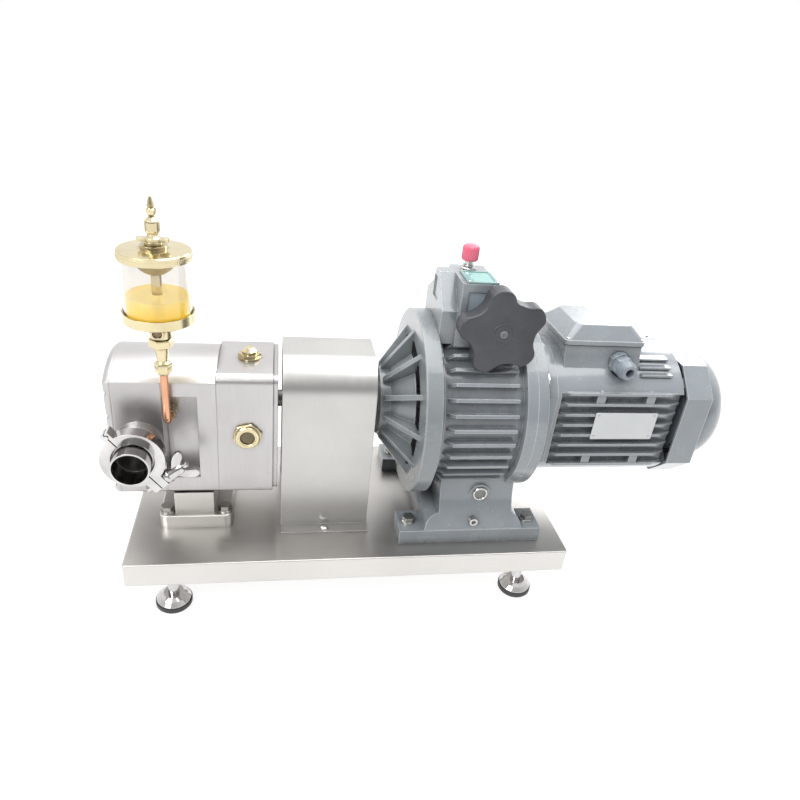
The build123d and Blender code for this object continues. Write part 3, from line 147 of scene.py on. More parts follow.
# sand-cast skin under paint: fine grain, soft lumps and patches of tone
def castSkinGroup():
    tree, inside, outside = newGroup(
        "castSkin",
        [("Grain", "NodeSocketFloat", 700.0), ("Lumps", "NodeSocketFloat", 120.0),
         ("GrainShare", "NodeSocketFloat", 0.4)],
        [("Height", "NodeSocketFloat"), ("Patches", "NodeSocketFloat")])
    place = addNode(tree, "ShaderNodeTexCoord")
    grain = addNode(tree, "ShaderNodeTexNoise", Detail=2.0)
    lumps = addNode(tree, "ShaderNodeTexNoise", Detail=3.0)
    patches = addNode(tree, "ShaderNodeTexNoise", Scale=22.0, Detail=5.0, Roughness=0.6)
    for target in (grain, lumps, patches):
        join(tree, place.outputs["Object"], target.inputs["Vector"])
    join(tree, inside.outputs["Grain"], grain.inputs["Scale"])
    join(tree, inside.outputs["Lumps"], lumps.inputs["Scale"])
    mixed = addNode(tree, "ShaderNodeMix", data_type="FLOAT")
    join(tree, inside.outputs["GrainShare"], mixed.inputs[0])
    join(tree, lumps.outputs["Fac"], mixed.inputs[2])
    join(tree, grain.outputs["Fac"], mixed.inputs[3])
    join(tree, mixed.outputs[0], outside.inputs["Height"])
    join(tree, patches.outputs["Fac"], outside.inputs["Patches"])
    return tree


brushedLines = brushedLinesGroup()
softEdge = softEdgeGroup()
creaseDirtAndShade = creaseGroup()
castSkin = castSkinGroup()


def newFinish(name):
    made = bpy.data.materials.new(name)
    made.use_nodes = True
    tree = made.node_tree
    tree.nodes.clear()
    shader = tree.nodes.new("ShaderNodeBsdfPrincipled")
    end = tree.nodes.new("ShaderNodeOutputMaterial")
    join(tree, shader.outputs[0], end.inputs["Surface"])
    return made, tree, shader


# noise keeps to the middle of its range, so that part is spread over low to high
def spread(tree, source, low, high, fromLow=0.3, fromHigh=0.7):
    made = addNode(tree, "ShaderNodeMapRange")
    for name, value in (("From Min", fromLow), ("From Max", fromHigh), ("To Min", low), ("To Max", high)):
        made.inputs[name].default_value = value
    join(tree, source, made.inputs["Value"])
    return made.outputs["Result"]


# first where the mask is 0, second where it is 1; each is a colour or a socket
def blendColour(tree, mask, first, second):
    made = addNode(tree, "ShaderNodeMix", data_type="RGBA")
    join(tree, mask, made.inputs[0])
    for index, value in ((6, first), (7, second)):
        if isinstance(value, tuple):
            made.inputs[index].default_value = (*value, 1.0)
        else:
            join(tree, value, made.inputs[index])
    return made.outputs[2]


def scaled(tree, source, factor):
    made = addNode(tree, "ShaderNodeMath", operation="MULTIPLY")
    made.inputs[1].default_value = factor
    join(tree, source, made.inputs[0])
    return made.outputs[0]


def layRoughness(tree, shader, source, low, high):
    join(tree, spread(tree, source, low, high), shader.inputs["Roughness"])


# fine relief laid over the rounded edges
def layRelief(tree, shader, height, rim, depth, strength):
    bump = addNode(tree, "ShaderNodeBump", Distance=depth * mm, Strength=strength)
    join(tree, height, bump.inputs["Height"])
    join(tree, rim.outputs["Normal"], bump.inputs["Normal"])
    join(tree, bump.outputs[0], shader.inputs["Normal"])


soilAndShadeTone = (0.10, 0.095, 0.085)
tarnishAndShadeTone = (0.14, 0.085, 0.03)


# across squeezes the lines in each direction; faces that look up are darkened towards a top tone, a painted
# shade
def steelFinish(name, colour, dark, rough, roughSpread, across, fineness, lineDepth, edge, dirtAndShade, clouds,
                topShadeTone=None):
    made, tree, shader = newFinish(name)
    grain = useGroup(tree, brushedLines, Fineness=fineness, Across=across, CloudSize=clouds)
    rim = useGroup(tree, softEdge, Radius=edge * mm, Sharpness=4.0)
    soilAndShade = useGroup(tree, creaseDirtAndShade, Reach=7 * mm, Blotch=45.0)
    tone = blendColour(tree, spread(tree, grain.outputs["Clouds"], 0.0, 1.0), dark, colour)
    tone = blendColour(tree, spread(tree, grain.outputs["Lines"], 0.0, 0.22), tone, dark)
    # painted shade: faces that look up are blended towards the darker top tone
    if topShadeTone:
        facing = addNode(tree, "ShaderNodeSeparateXYZ")
        join(tree, addNode(tree, "ShaderNodeNewGeometry").outputs["Normal"], facing.inputs[0])
        tone = blendColour(tree, spread(tree, facing.outputs["Z"], 0.0, 0.8, 0.5, 0.95), tone, topShadeTone)
    # painted crease shade with dirt: where occlusion finds creases the tone is blended towards a dark soil
    # colour
    tone = blendColour(tree, scaled(tree, soilAndShade.outputs["DirtAndShade"], dirtAndShade), tone, soilAndShadeTone)
    join(tree, tone, shader.inputs["Base Color"])
    layRoughness(tree, shader, grain.outputs["Lines"], rough - roughSpread, rough + roughSpread)
    layRelief(tree, shader, grain.outputs["Lines"], rim, lineDepth, 0.6)
    shader.inputs["Metallic"].default_value = 1.0
    return made


# painted crease shade with dirt darkens creases towards the dark colour; light shows in random patches, and
# as a painted highlight along edges
def paintFinish(name, colour, dark, light, rough, grain, lumps, depth, grainShare, edge, coat):
    made, tree, shader = newFinish(name)
    skin = useGroup(tree, castSkin, Grain=grain, Lumps=lumps, GrainShare=grainShare)
    rim = useGroup(tree, softEdge, Radius=edge * mm, Sharpness=4.5)
    soilAndShade = useGroup(tree, creaseDirtAndShade, Reach=9 * mm, Blotch=70.0)
    tone = blendColour(tree, spread(tree, skin.outputs["Patches"], 0.0, 0.08), colour, light)
    # painted highlight: edges are lightened towards the light colour
    tone = blendColour(tree, scaled(tree, rim.outputs["Edge"], 0.8), tone, light)
    # painted crease shade with dirt: creases are darkened towards the dark colour
    tone = blendColour(tree, soilAndShade.outputs["DirtAndShade"], tone, dark)
    join(tree, tone, shader.inputs["Base Color"])
    layRoughness(tree, shader, skin.outputs["Patches"], rough - 0.05, rough + 0.08)
    layRelief(tree, shader, skin.outputs["Height"], rim, depth, 0.7)
    shader.inputs["Coat Weight"].default_value = coat
    shader.inputs["Coat Roughness"].default_value = 0.07
    return made


def brassFinish(name, colour, dark, rough):
    made, tree, shader = newFinish(name)
    skin = useGroup(tree, castSkin, Grain=900.0, Lumps=260.0, GrainShare=0.5)
    rim = useGroup(tree, softEdge, Radius=0.4 * mm, Sharpness=4.0)
    soilAndShade = useGroup(tree, creaseDirtAndShade, Reach=4 * mm, Blotch=160.0)
    tone = blendColour(tree, spread(tree, skin.outputs["Patches"], 0.0, 0.6), colour, dark)
    # tarnish with painted crease shade: creases are darkened towards a brown tone
    tone = blendColour(tree, soilAndShade.outputs["DirtAndShade"], tone, tarnishAndShadeTone)
    join(tree, tone, shader.inputs["Base Color"])
    layRoughness(tree, shader, skin.outputs["Patches"], rough - 0.06, rough + 0.1)
    layRelief(tree, shader, skin.outputs["Height"], rim, 0.03, 0.5)
    shader.inputs["Metallic"].default_value = 1.0
    return made


def mouldedFinish(name, colour, light, rough, grain, depth, sheen=0.0, edge=0.8):
    made, tree, shader = newFinish(name)
    skin = useGroup(tree, castSkin, Grain=grain, Lumps=grain / 4, GrainShare=0.7)
    rim = useGroup(tree, softEdge, Radius=edge * mm, Sharpness=5.0)
    tone = blendColour(tree, spread(tree, skin.outputs["Patches"], 0.0, 0.35), colour, light)
    # painted highlight: edges are lightened towards the light colour
    tone = blendColour(tree, scaled(tree, rim.outputs["Edge"], 0.5), tone, light)
    join(tree, tone, shader.inputs["Base Color"])
    layRoughness(tree, shader, skin.outputs["Patches"], rough - 0.05, rough + 0.07)
    layRelief(tree, shader, skin.outputs["Height"], rim, depth, 0.6)
    shader.inputs["Sheen Weight"].default_value = sheen
    return made


# clear wall with faint smears
def glassFinish(name, colour, rough):
    made, tree, shader = newFinish(name)
    smear = useGroup(tree, castSkin, Grain=300.0, Lumps=60.0, GrainShare=0.2)
    join(tree, blendColour(tree, spread(tree, smear.outputs["Patches"], 0.0, 0.3), colour,
                           tuple(0.92 * c for c in colour)), shader.inputs["Base Color"])
    layRoughness(tree, shader, smear.outputs["Patches"], rough, rough + 0.05)
    shader.inputs["Transmission Weight"].default_value = 1.0
    shader.inputs["IOR"].default_value = 1.49
    return made


# deep colour low in the cup, thin colour near the level; a painted glow makes it emit a little light,
# though it is no lamp
def oilFinish(name, deep, thin):
    made, tree, shader = newFinish(name)
    place = addNode(tree, "ShaderNodeTexCoord")
    parts = addNode(tree, "ShaderNodeSeparateXYZ")
    join(tree, place.outputs["Generated"], parts.inputs[0])
    tone = blendColour(tree, spread(tree, parts.outputs["Z"], 0.0, 1.0, 0.25, 0.95), deep, thin)
    join(tree, tone, shader.inputs["Base Color"])
    # painted glow: the oil emits its own colour
    join(tree, tone, shader.inputs["Emission Color"])
    shader.inputs["Emission Strength"].default_value = 0.32
    shader.inputs["Transmission Weight"].default_value = 0.3
    shader.inputs["Roughness"].default_value = 0.08
    shader.inputs["IOR"].default_value = 1.33
    return made


# colours are linear; depths and edge widths are in millimetres
finishes = {
    "sheetSteel": steelFinish("sheetSteel", (0.68, 0.665, 0.64), (0.61, 0.595, 0.57), 0.36, 0.04,
                              (0.02, 1.0, 1.0), 1100.0, 0.002, edge=1.0, dirtAndShade=0.4, clouds=7.0,
                              topShadeTone=(0.50, 0.485, 0.465)),
    "guardSteel": steelFinish("guardSteel", (0.58, 0.575, 0.56), (0.47, 0.465, 0.45), 0.36, 0.05,
                              (1.0, 0.05, 0.05), 1100.0, 0.02, edge=0.8, dirtAndShade=0.4, clouds=7.0),
    "housingSteel": steelFinish("housingSteel", (0.56, 0.545, 0.545), (0.475, 0.462, 0.46), 0.36, 0.06,
                                (1.0, 1.0, 0.05), 800.0, 0.006, edge=1.6, dirtAndShade=0.7, clouds=12.0),
    "polishedSteel": steelFinish("polishedSteel", (0.70, 0.69, 0.68), (0.50, 0.49, 0.48), 0.10, 0.04,
                                 (1.0, 0.4, 1.0), 500.0, 0.01, edge=0.5, dirtAndShade=0.55, clouds=40.0),
    "boltSteel": steelFinish("boltSteel", (0.72, 0.71, 0.68), (0.52, 0.51, 0.48), 0.22, 0.06,
                             (1.0, 1.0, 1.0), 600.0, 0.01, edge=0.5, dirtAndShade=0.12, clouds=50.0),
    "innerSteel": steelFinish("innerSteel", (0.48, 0.47, 0.45), (0.30, 0.29, 0.27), 0.36, 0.08,
                              (0.1, 1.0, 1.0), 600.0, 0.03, edge=0.4, dirtAndShade=0.8, clouds=30.0),
    "greyPaint": paintFinish("greyPaint", (0.185, 0.205, 0.222), (0.045, 0.050, 0.055),
                             (0.58, 0.61, 0.63), 0.24, 600.0, 130.0, 0.35, 0.30, edge=1.6, coat=0.7),
    "roughPaint": paintFinish("roughPaint", (0.165, 0.182, 0.190), (0.035, 0.038, 0.040),
                              (0.52, 0.55, 0.56), 0.28, 450.0, 110.0, 0.8, 0.4, edge=1.8, coat=0.6),
    "brass": brassFinish("brass", (0.76, 0.67, 0.44), (0.50, 0.42, 0.24), 0.16),
    "copper": brassFinish("copper", (0.80, 0.43, 0.27), (0.52, 0.25, 0.14), 0.26),
    "blackRubber": mouldedFinish("blackRubber", (0.020, 0.020, 0.021), (0.07, 0.07, 0.07), 0.62, 500.0, 0.1,
                                 sheen=0.15),
    "wheelPlastic": mouldedFinish("wheelPlastic", (0.022, 0.023, 0.028), (0.11, 0.115, 0.13), 0.34, 900.0,
                                  0.08, edge=1.8),
    "glandPlastic": mouldedFinish("glandPlastic", (0.15, 0.175, 0.20), (0.42, 0.45, 0.48), 0.24, 900.0,
                                  0.03),
    "redCap": mouldedFinish("redCap", (0.60, 0.07, 0.13), (0.74, 0.24, 0.33), 0.24, 900.0, 0.02, edge=0.5),
    "cupGlass": glassFinish("cupGlass", (0.85, 0.835, 0.815), 0.02),
    "oil": oilFinish("oil", (0.98, 0.71, 0.06), (0.98, 0.86, 0.34)),
    "lensGlass": glassFinish("lensGlass", (0.90, 0.86, 0.88), 0.05),
    "clearLens": mouldedFinish("clearLens", (0.13, 0.14, 0.12), (0.34, 0.35, 0.31), 0.12, 400.0, 0.02),
    "amberLens": mouldedFinish("amberLens", (0.085, 0.062, 0.030), (0.30, 0.24, 0.14), 0.10, 400.0, 0.02),
    "darkSteel": mouldedFinish("darkSteel", (0.10, 0.10, 0.11), (0.26, 0.26, 0.27), 0.30, 600.0, 0.03),
    "tealFrame": mouldedFinish("tealFrame", (0.16, 0.27, 0.26), (0.34, 0.46, 0.44), 0.22, 700.0, 0.03),
    "greenGlass": mouldedFinish("greenGlass", (0.17, 0.33, 0.31), (0.34, 0.52, 0.50), 0.08, 500.0, 0.01),
    "greyPane": mouldedFinish("greyPane", (0.24, 0.28, 0.32), (0.36, 0.40, 0.43), 0.10, 500.0, 0.01),
    "dullBrass": brassFinish("dullBrass", (0.46, 0.43, 0.39), (0.34, 0.31, 0.27), 0.34),
    "plateMetal": steelFinish("plateMetal", (0.54, 0.555, 0.56), (0.49, 0.505, 0.51), 0.42, 0.04,
                              (0.05, 1.0, 1.0), 900.0, 0.01, edge=0.2, dirtAndShade=0.1, clouds=20.0),
}
print("finishes made", len(finishes))

# which nodes of the frame wear which finish
wearing = {
    "sheetSteel": ["base_plate", "pump_bracket"],
    "guardSteel": ["coupling_guard"],
    "housingSteel": ["front_cover", "rotor_case", "bearing_housing", "gear_case", "rear_cover"],
    "polishedSteel": ["port_ferrules", "port_clamps", "clamp_bolts", "front_wing_nut", "rear_wing_nut",
                      "foot_stems", "foot_nuts", "variator_plugs"],
    "boltSteel": ["cover_nuts", "guard_screws", "hex_bolts"],
    "innerSteel": ["drive_rotor", "driven_rotor", "drive_rotor_nut", "driven_rotor_nut", "drive_shaft",
                   "driven_shaft", "drive_gear", "driven_gear", "coupling_hubs", "planet_carrier",
                   "planet_discs", "sun_disc", "track_ring", "motor_rotor", "bearings", "stator",
                   "shaft_seals"],
    "greyPaint": ["variator_body", "control_box", "motor_shield", "motor_frame", "terminal_lid",
                  "fan_cowl"],
    "roughPaint": ["variator_cone"],
    "brass": ["oiler_stem", "oiler_base", "oiler_lid", "oiler_adjuster", "oiler_lever", "feed_fitting",
              "oil_sight_glass", "filler_plug"],
    "copper": ["feed_tube"],
    "blackRubber": ["foot_pads", "port_gaskets", "coupling_spider"],
    "wheelPlastic": ["handwheel"],
    "glandPlastic": ["cable_gland", "fan"],
    "redCap": ["breather"],
    "cupGlass": ["oiler_glass"],
}
for finish, names in wearing.items():
    for name in names:
        for holder in cadNodes[name].material_slots:
            holder.material = finishes[finish]
print("nodes dressed", sum(len(names) for names in wearing.values()))


# small mesh makers, all sizes in millimetres
def axesOf(along, side=None):
    along = Vector(along).normalized()
    side = Vector(side) if side else along.orthogonal()
    side = (side - along * side.dot(along)).normalized()
    return along, side, along.cross(side)


# skin between rings of corners; a ring of one corner closes to a point
def addRings(build, rings, joinEnds=False, capped=True):
    pairs = list(zip(rings, rings[1:]))
    if joinEnds:
        pairs.append((rings[-1], rings[0]))
    count = max(len(ring) for ring in rings)
    for low, high in pairs:
        for k in range(count):
            corners = [low[k % len(low)], low[(k + 1) % len(low)], high[(k + 1) % len(high)],
                       high[k % len(high)]]
            corners = list(dict.fromkeys(corners))
            if len(corners) > 2:
                build.faces.new(corners)
    if capped and not joinEnds:
        for ring in (rings[0], rings[-1]):
            if len(ring) > 2:
                build.faces.new(ring)


def ringCorner(build, centre, side, up, turn, radius):
    return build.verts.new((centre + (side * cos(turn) + up * sin(turn)) * radius) * mm)


# stations are (reach, radius); ribs are (count, depth, first station, last station)
def turned(build, origin, along, stations, steps=48, joinEnds=False, ribs=None):
    along, side, up = axesOf(along)
    rings = []
    for index, (reach, radius) in enumerate(stations):
        centre = Vector(origin) + along * reach
        if radius < 0.001:
            rings.append([build.verts.new(centre * mm)])
            continue
        ring = []
        for k in range(steps):
            grown = radius
            if ribs and ribs[2] <= index <= ribs[3]:
                grown -= ribs[1] * (0.5 - 0.5 * cos(tau * ribs[0] * k / steps))
            ring.append(ringCorner(build, centre, side, up, tau * k / steps, grown))
        rings.append(ring)
    addRings(build, rings, joinEnds)


# outline points are (along side, along the third axis); the chamfered ends shrink by a share
def prism(build, origin, along, side, outline, start, end, shrink=0.0, chamfer=0.0):
    along, side, up = axesOf(along, side)
    stations = [(start, 1.0), (end, 1.0)]
    if chamfer:
        stations = [(start, 1 - shrink), (start + chamfer, 1.0), (end - chamfer, 1.0), (end, 1 - shrink)]
    rings = []
    for reach, scale in stations:
        centre = Vector(origin) + along * reach
        rings.append([build.verts.new((centre + (side * u + up * v) * scale) * mm) for u, v in outline])
    addRings(build, rings)


# flats is half the width over the flats
def hexOutline(flats):
    corner = flats / cos(pi / 6)
    return [(corner * cos(tau * k / 6), corner * sin(tau * k / 6)) for k in range(6)]


def roundedOutline(width, height, radius, steps=5):
    points = []
    for quarter, (sideX, sideY) in enumerate(((1, 1), (-1, 1), (-1, -1), (1, -1))):
        for k in range(steps + 1):
            turn = (quarter + k / steps) * pi / 2
            points.append((sideX * (width / 2 - radius) + radius * cos(turn),
                           sideY * (height / 2 - radius) + radius * sin(turn)))
    return points


# diamond knurl: every other corner stands out, and the rows take turns
def knurled(build, origin, along, radius, start, end, depth, count):
    along, side, up = axesOf(along)
    rows = max(2, round((end - start) / (tau * radius / count)))
    rings = []
    for row in range(rows + 1):
        centre = Vector(origin) + along * (start + (end - start) * row / rows)
        ring = []
        for k in range(2 * count):
            grown = radius + (depth if (row + k) % 2 and 0 < row < rows else 0)
            ring.append(ringCorner(build, centre, side, up, pi * k / count, grown))
        rings.append(ring)
    addRings(build, rings)


# screw thread cut depth deep, with five rings of corners to a turn
def threaded(build, origin, along, radius, start, end, pitch, depth, steps=20):
    along, side, up = axesOf(along)
    rows = round((end - start) / pitch * 5)
    rings = []
    for row in range(rows + 1):
        reach = start + (end - start) * row / rows
        centre = Vector(origin) + along * reach
        ring = []
        for k in range(steps):
            phase = (reach / pitch - k / steps) % 1
            grown = radius - depth * abs(2 * phase - 1)
            ring.append(ringCorner(build, centre, side, up, tau * k / steps, grown))
        rings.append(ring)
    addRings(build, rings)


def slab(build, corner, other):
    made = bmesh.ops.create_cube(build, size=1.0)["verts"]
    low, high = Vector(corner), Vector(other)
    for vert in made:
        vert.co = Vector([(low[k] + high[k]) / 2 + vert.co[k] * (high[k] - low[k]) for k in range(3)]) * mm


# mesh into a piece that rides a body of the frame, and the nodes it stands in for
def addPiece(name, build, finish, body, replaced=(), sharp=35, bevel=0.0, bevelSteps=2):
    mesh = bpy.data.meshes.new(name)
    bmesh.ops.recalc_face_normals(build, faces=build.faces)
    build.to_mesh(mesh)
    build.free()
    mesh.shade_smooth()
    mesh.set_sharp_from_angle(angle=radians(sharp))
    mesh.materials.append(finishes[finish])
    piece = bpy.data.objects.new(name, mesh)
    bpy.context.scene.collection.objects.link(piece)
    if bevel:
        soft = piece.modifiers.new("softEdges", "BEVEL")
        soft.width = bevel * mm
        soft.segments = bevelSteps
        soft.limit_method = "ANGLE"
        soft.angle_limit = radians(sharp)
        soft.use_clamp_overlap = True
        soft.harden_normals = True
    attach(piece, body)
    if replaced:
        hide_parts(*replaced)


root = "pump_set"

# drip oiler; its nuts are (half flats, start, end) from the top of the feed block
oiler = {"x": -288.95, "y": -58.0, "glassLow": 340.0, "glassHigh": 396.5, "inside": 28.9, "oilDepth": 19.0,
         "feedTop": 334.0, "sleeve": 6.0, "sleeveLow": 416.8, "sleeveHigh": 426.6, "lidRim": 33.0,
         "domeReach": 22.0, "domeDrop": 17.0, "tube": 5.15, "upperNut": (10.4, -28.3, -19.6),
         "lowerNut": (7.5, -56.5, -45.6), "windowFace": (-1.2, -8.6, -11.5), "windowAim": (-0.14, -1, 0),
         "windowRim": [(-1.5, 4.6), (2.1, 4.6), (2.4, 5.1), (2.4, 5.9), (1.9, 6.4), (-1.5, 6.4)],
         "windowGlass": [(-1, 4.5), (1.6, 4.5), (2.3, 3.4), (2.7, 1.8), (2.8, 0)]}


def makeOiler():
    foot = (oiler["x"], oiler["y"], 0)
    up = (0, 0, 1)
    low, high, feed = oiler["glassLow"], oiler["glassHigh"], oiler["feedTop"]
    tube, inside = oiler["tube"], oiler["inside"]
    level = low + oiler["oilDepth"]
    build = bmesh.new()
    turned(build, foot, up, [(low + 0.35, tube), (low + 0.35, inside - 1.5), (low + 1.6, inside - 0.3),
                             (low + 2.6, inside), (level - 0.6, inside), (level, inside - 0.5),
                             (level - 0.35, inside - 2.5), (level - 0.35, tube + 1.5),
                             (level + 0.1, tube)], 72, joinEnds=True)
    addPiece("cupOil", build, "oil", root, sharp=50)

    # underside of the lid, seen through the cup
    reach, drop = oiler["domeReach"], oiler["domeDrop"]
    build = bmesh.new()
    turned(build, foot, up, [(high - 0.6, tube + 0.1), (high - 0.6, reach + 4), (high - 2.2, reach + 4),
                             (high - 2.6, reach), (high - 0.45 * drop, reach - 2.5),
                             (high - 0.8 * drop, reach - 8), (high - drop, reach - 13),
                             (high - drop, tube + 0.1)], 64, joinEnds=True)
    addPiece("lidSeat", build, "dullBrass", root, sharp=40)

    build = bmesh.new()
    knurled(build, foot, up, oiler["sleeve"] + 0.03, oiler["sleeveLow"], oiler["sleeveHigh"], 0.45, 30)
    addPiece("sleeveKnurl", build, "brass", "oiler_adjuster", sharp=20)
    build = bmesh.new()
    knurled(build, foot, up, oiler["lidRim"] + 0.02, high - 1.6, high + 2.4, 0.35, 110)
    addPiece("lidKnurl", build, "brass", root, sharp=20)

    build = bmesh.new()
    flats, start, end = oiler["upperNut"]
    prism(build, foot, up, (1, 0.3, 0), hexOutline(flats), feed + start, feed + end, 0.07, 1.0)
    flats, start, end = oiler["lowerNut"]
    prism(build, foot, up, (1, 0.1, 0), hexOutline(flats), feed + start, feed + end, 0.07, 0.9)
    addPiece("stemNuts", build, "brass", root, bevel=0.35)

    x, y, z = oiler["windowFace"]
    face = (oiler["x"] + x, oiler["y"] + y, feed + z)
    build = bmesh.new()
    turned(build, face, oiler["windowAim"], oiler["windowRim"], 36, joinEnds=True)
    addPiece("feedWindowRim", build, "brass", root, bevel=0.2)
    build = bmesh.new()
    turned(build, face, oiler["windowAim"], oiler["windowGlass"], 32)
    addPiece("feedWindowGlass", build, "lensGlass", root, sharp=60)


# oil sight on the gear case and the nuts of the feed line, which all face the front
fittings = {"sight": (-209.15, -49.4, 198.0), "sightFlats": 14.2, "elbowY": -24.0, "elbowZ": 217.0,
            "sightRim": [(3.3, 12.6), (5.6, 12.6), (6.3, 12.0), (6.4, 9.6), (5.4, 8.6), (3.3, 8.6)],
            "sightLens": [(2.8, 8.5), (4.1, 8.5), (4.7, 6.5), (5.0, 3.5), (5.1, 0)],
            "innerNut": (5.6, 0.1, 6.2), "outerNut": (5.5, 8.3, 14.5)}
front = (0, -1, 0)


def makeFittings():
    build = bmesh.new()
    prism(build, fittings["sight"], front, (1, 0, 0.25), hexOutline(fittings["sightFlats"]), 0.05, 3.4,
          0.06, 0.9)
    addPiece("sightHex", build, "brass", root, bevel=0.4)
    build = bmesh.new()
    turned(build, fittings["sight"], front, fittings["sightRim"], 48, joinEnds=True)
    addPiece("sightRim", build, "brass", root, bevel=0.2)
    build = bmesh.new()
    turned(build, fittings["sight"], front, fittings["sightLens"], 40)
    addPiece("sightLens", build, "amberLens", root, sharp=60)

    centre = (oiler["x"], fittings["elbowY"], fittings["elbowZ"])
    build = bmesh.new()
    flats, start, end = fittings["innerNut"]
    prism(build, centre, front, (1, 0, 0.6), hexOutline(flats), start, end, 0.07, 0.7)
    flats, start, end = fittings["outerNut"]
    prism(build, centre, front, (1, 0, 0.2), hexOutline(flats), start, end, 0.07, 0.7)
    addPiece("elbowNuts", build, "brass", root, bevel=0.3)


# clamp bolts: where a bolt's hinge stands, which way it leans, and the wing nut on it
clamp = {"x": -297.3125, "y": 81.7, "z": 161.8492, "along": (0.788011, 0, 0.615661), "start": 9.3,
         "hub": [(0, 3.2), (0, 6.9), (0.8, 7.5), (4.2, 7.6), (5.4, 6.6), (12, 6.1), (19, 5.8), (21.4, 5.0),
                 (21.6, 3.2)],
         "wing": [(19.5, 4.6), (22.5, 8.2), (26.0, 12.2), (30.5, 15.8), (35.5, 17.6), (39.3, 16.6),
                  (40.4, 13.4), (38.4, 9.8), (35.0, 7.2), (31.6, 5.2), (30.5, 3.0), (19.5, 3.0)],
         "wingHalf": 2.5, "thread": 3.12, "threadStart": 31.2, "threadEnd": 35.8}


def makeWingNut(name, body, side):
    origin = (clamp["x"], side * clamp["y"], clamp["z"])
    build = bmesh.new()
    hub = [(clamp["start"] + reach, radius) for reach, radius in clamp["hub"]]
    turned(build, origin, clamp["along"], hub, 40, joinEnds=True)
    for way in (1, -1):
        wing = [(u, way * v) for u, v in clamp["wing"]]
        prism(build, origin, (0, 1, 0), clamp["along"], wing, -clamp["wingHalf"], clamp["wingHalf"])
    addPiece(name, build, "polishedSteel", body, replaced=[body], bevel=1.1, bevelSteps=3)


def makeClampThreads():
    build = bmesh.new()
    for side in (-1, 1):
        origin = (clamp["x"], side * clamp["y"], clamp["z"])
        threaded(build, origin, clamp["along"], clamp["thread"], clamp["threadStart"], clamp["threadEnd"],
                 1.0, 0.35)
    addPiece("clampThreads", build, "boltSteel", root, sharp=25)


# threads of the four levelling feet
feet = {"places": [(x, y) for x in (-291.15, 116.85) for y in (-91.0, 91.0)], "stud": 6.1, "low": 16.4,
        "high": 41.6, "pitch": 1.75, "depth": 0.7}


def makeFootThreads():
    build = bmesh.new()
    for x, y in feet["places"]:
        threaded(build, (x, y, 0), (0, 0, 1), feet["stud"], feet["low"], feet["high"], feet["pitch"],
                 feet["depth"], 24)
    addPiece("footThreads", build, "polishedSteel", root, sharp=25)


# breather, handwheel hub and oil level glass of the variator
variator = {"breather": (23.15, 0.0, 378.0), "breatherFlats": 7.8, "capLow": 11.5, "capHigh": 28.0,
            "capReach": 9.1, "capRibs": (24, 0.75, 2, 5),
            "neck": [(4.0, 5.2), (5.2, 5.2), (5.6, 6.6), (6.8, 6.6), (7.2, 5.0), (11.8, 5.0)],
            "wheel": (49.15, -74.0, 335.0),
            "hubRing": [(-0.5, 12.5), (0.1, 12.5), (0.5, 12.1), (0.5, 10.6), (-0.1, 10.2), (-0.5, 10.2)],
            "hubScrew": [(-0.4, 4.4), (0.8, 4.4), (1.5, 3.8), (1.8, 2.6), (1.8, 1.9), (0.9, 1.7), (0.9, 0)],
            "level": (56.15, -75.0, 134.0),
            "levelRing": [(-1, 8.9), (0.6, 8.9), (1.4, 8.2), (1.4, 7.2), (0.4, 6.4), (-1, 6.4)],
            "levelLens": [(-2, 6.35), (0.0, 6.35), (0.6, 4.6), (0.9, 2.4), (1.0, 0)]}


def makeVariatorParts():
    top = variator["breather"]
    up = (0, 0, 1)
    build = bmesh.new()
    prism(build, top, up, (1, 0.4, 0), hexOutline(variator["breatherFlats"]), 0.05, 4.2, 0.06, 0.8)
    turned(build, top, up, variator["neck"], 32)
    addPiece("breatherNeck", build, "polishedSteel", root, bevel=0.3)
    build = bmesh.new()
    low, high, reach = variator["capLow"], variator["capHigh"], variator["capReach"]
    turned(build, top, up, [(low, reach - 3), (low, reach - 1.2), (low + 0.9, reach - 0.2),
                            (low + 2, reach), (high - 3.2, reach), (high - 1.6, reach - 0.6),
                            (high - 0.5, reach - 1.8), (high, reach - 3.4), (high, 0)], 144,
           ribs=variator["capRibs"])
    addPiece("breatherCap", build, "redCap", root, replaced=["breather"], sharp=50)

    build = bmesh.new()
    turned(build, variator["wheel"], front, variator["hubRing"], 48, joinEnds=True)
    addPiece("wheelHubRing", build, "wheelPlastic", "handwheel")
    build = bmesh.new()
    turned(build, variator["wheel"], front, variator["hubScrew"], 30)
    addPiece("wheelScrew", build, "darkSteel", "handwheel", bevel=0.15)

    build = bmesh.new()
    turned(build, variator["level"], front, variator["levelRing"], 48, joinEnds=True)
    addPiece("levelRing", build, "polishedSteel", root, bevel=0.2)
    build = bmesh.new()
    turned(build, variator["level"], front, variator["levelLens"], 36)
    addPiece("levelLens", build, "clearLens", root, sharp=60)


# window on top of the tower, and the pane of the dial on its front
window = {"x": (12.0, 45.5), "y": (-45.2, -6.5), "z": 378.0, "frame": 3.6, "rise": 2.0, "lap": 0.3,
          "paneLap": 0.2, "paneLow": 0.1, "paneHigh": 1.1, "screwInset": 1.8,
          "screw": [(-0.5, 1.3), (0.5, 1.3), (0.9, 0.9), (0.9, 0.5), (0.5, 0.4), (0.5, 0)],
          "dialX": (14.4, 43.9), "dialY": (-44.5, -43.1), "dialZ": (344.4, 368.6)}


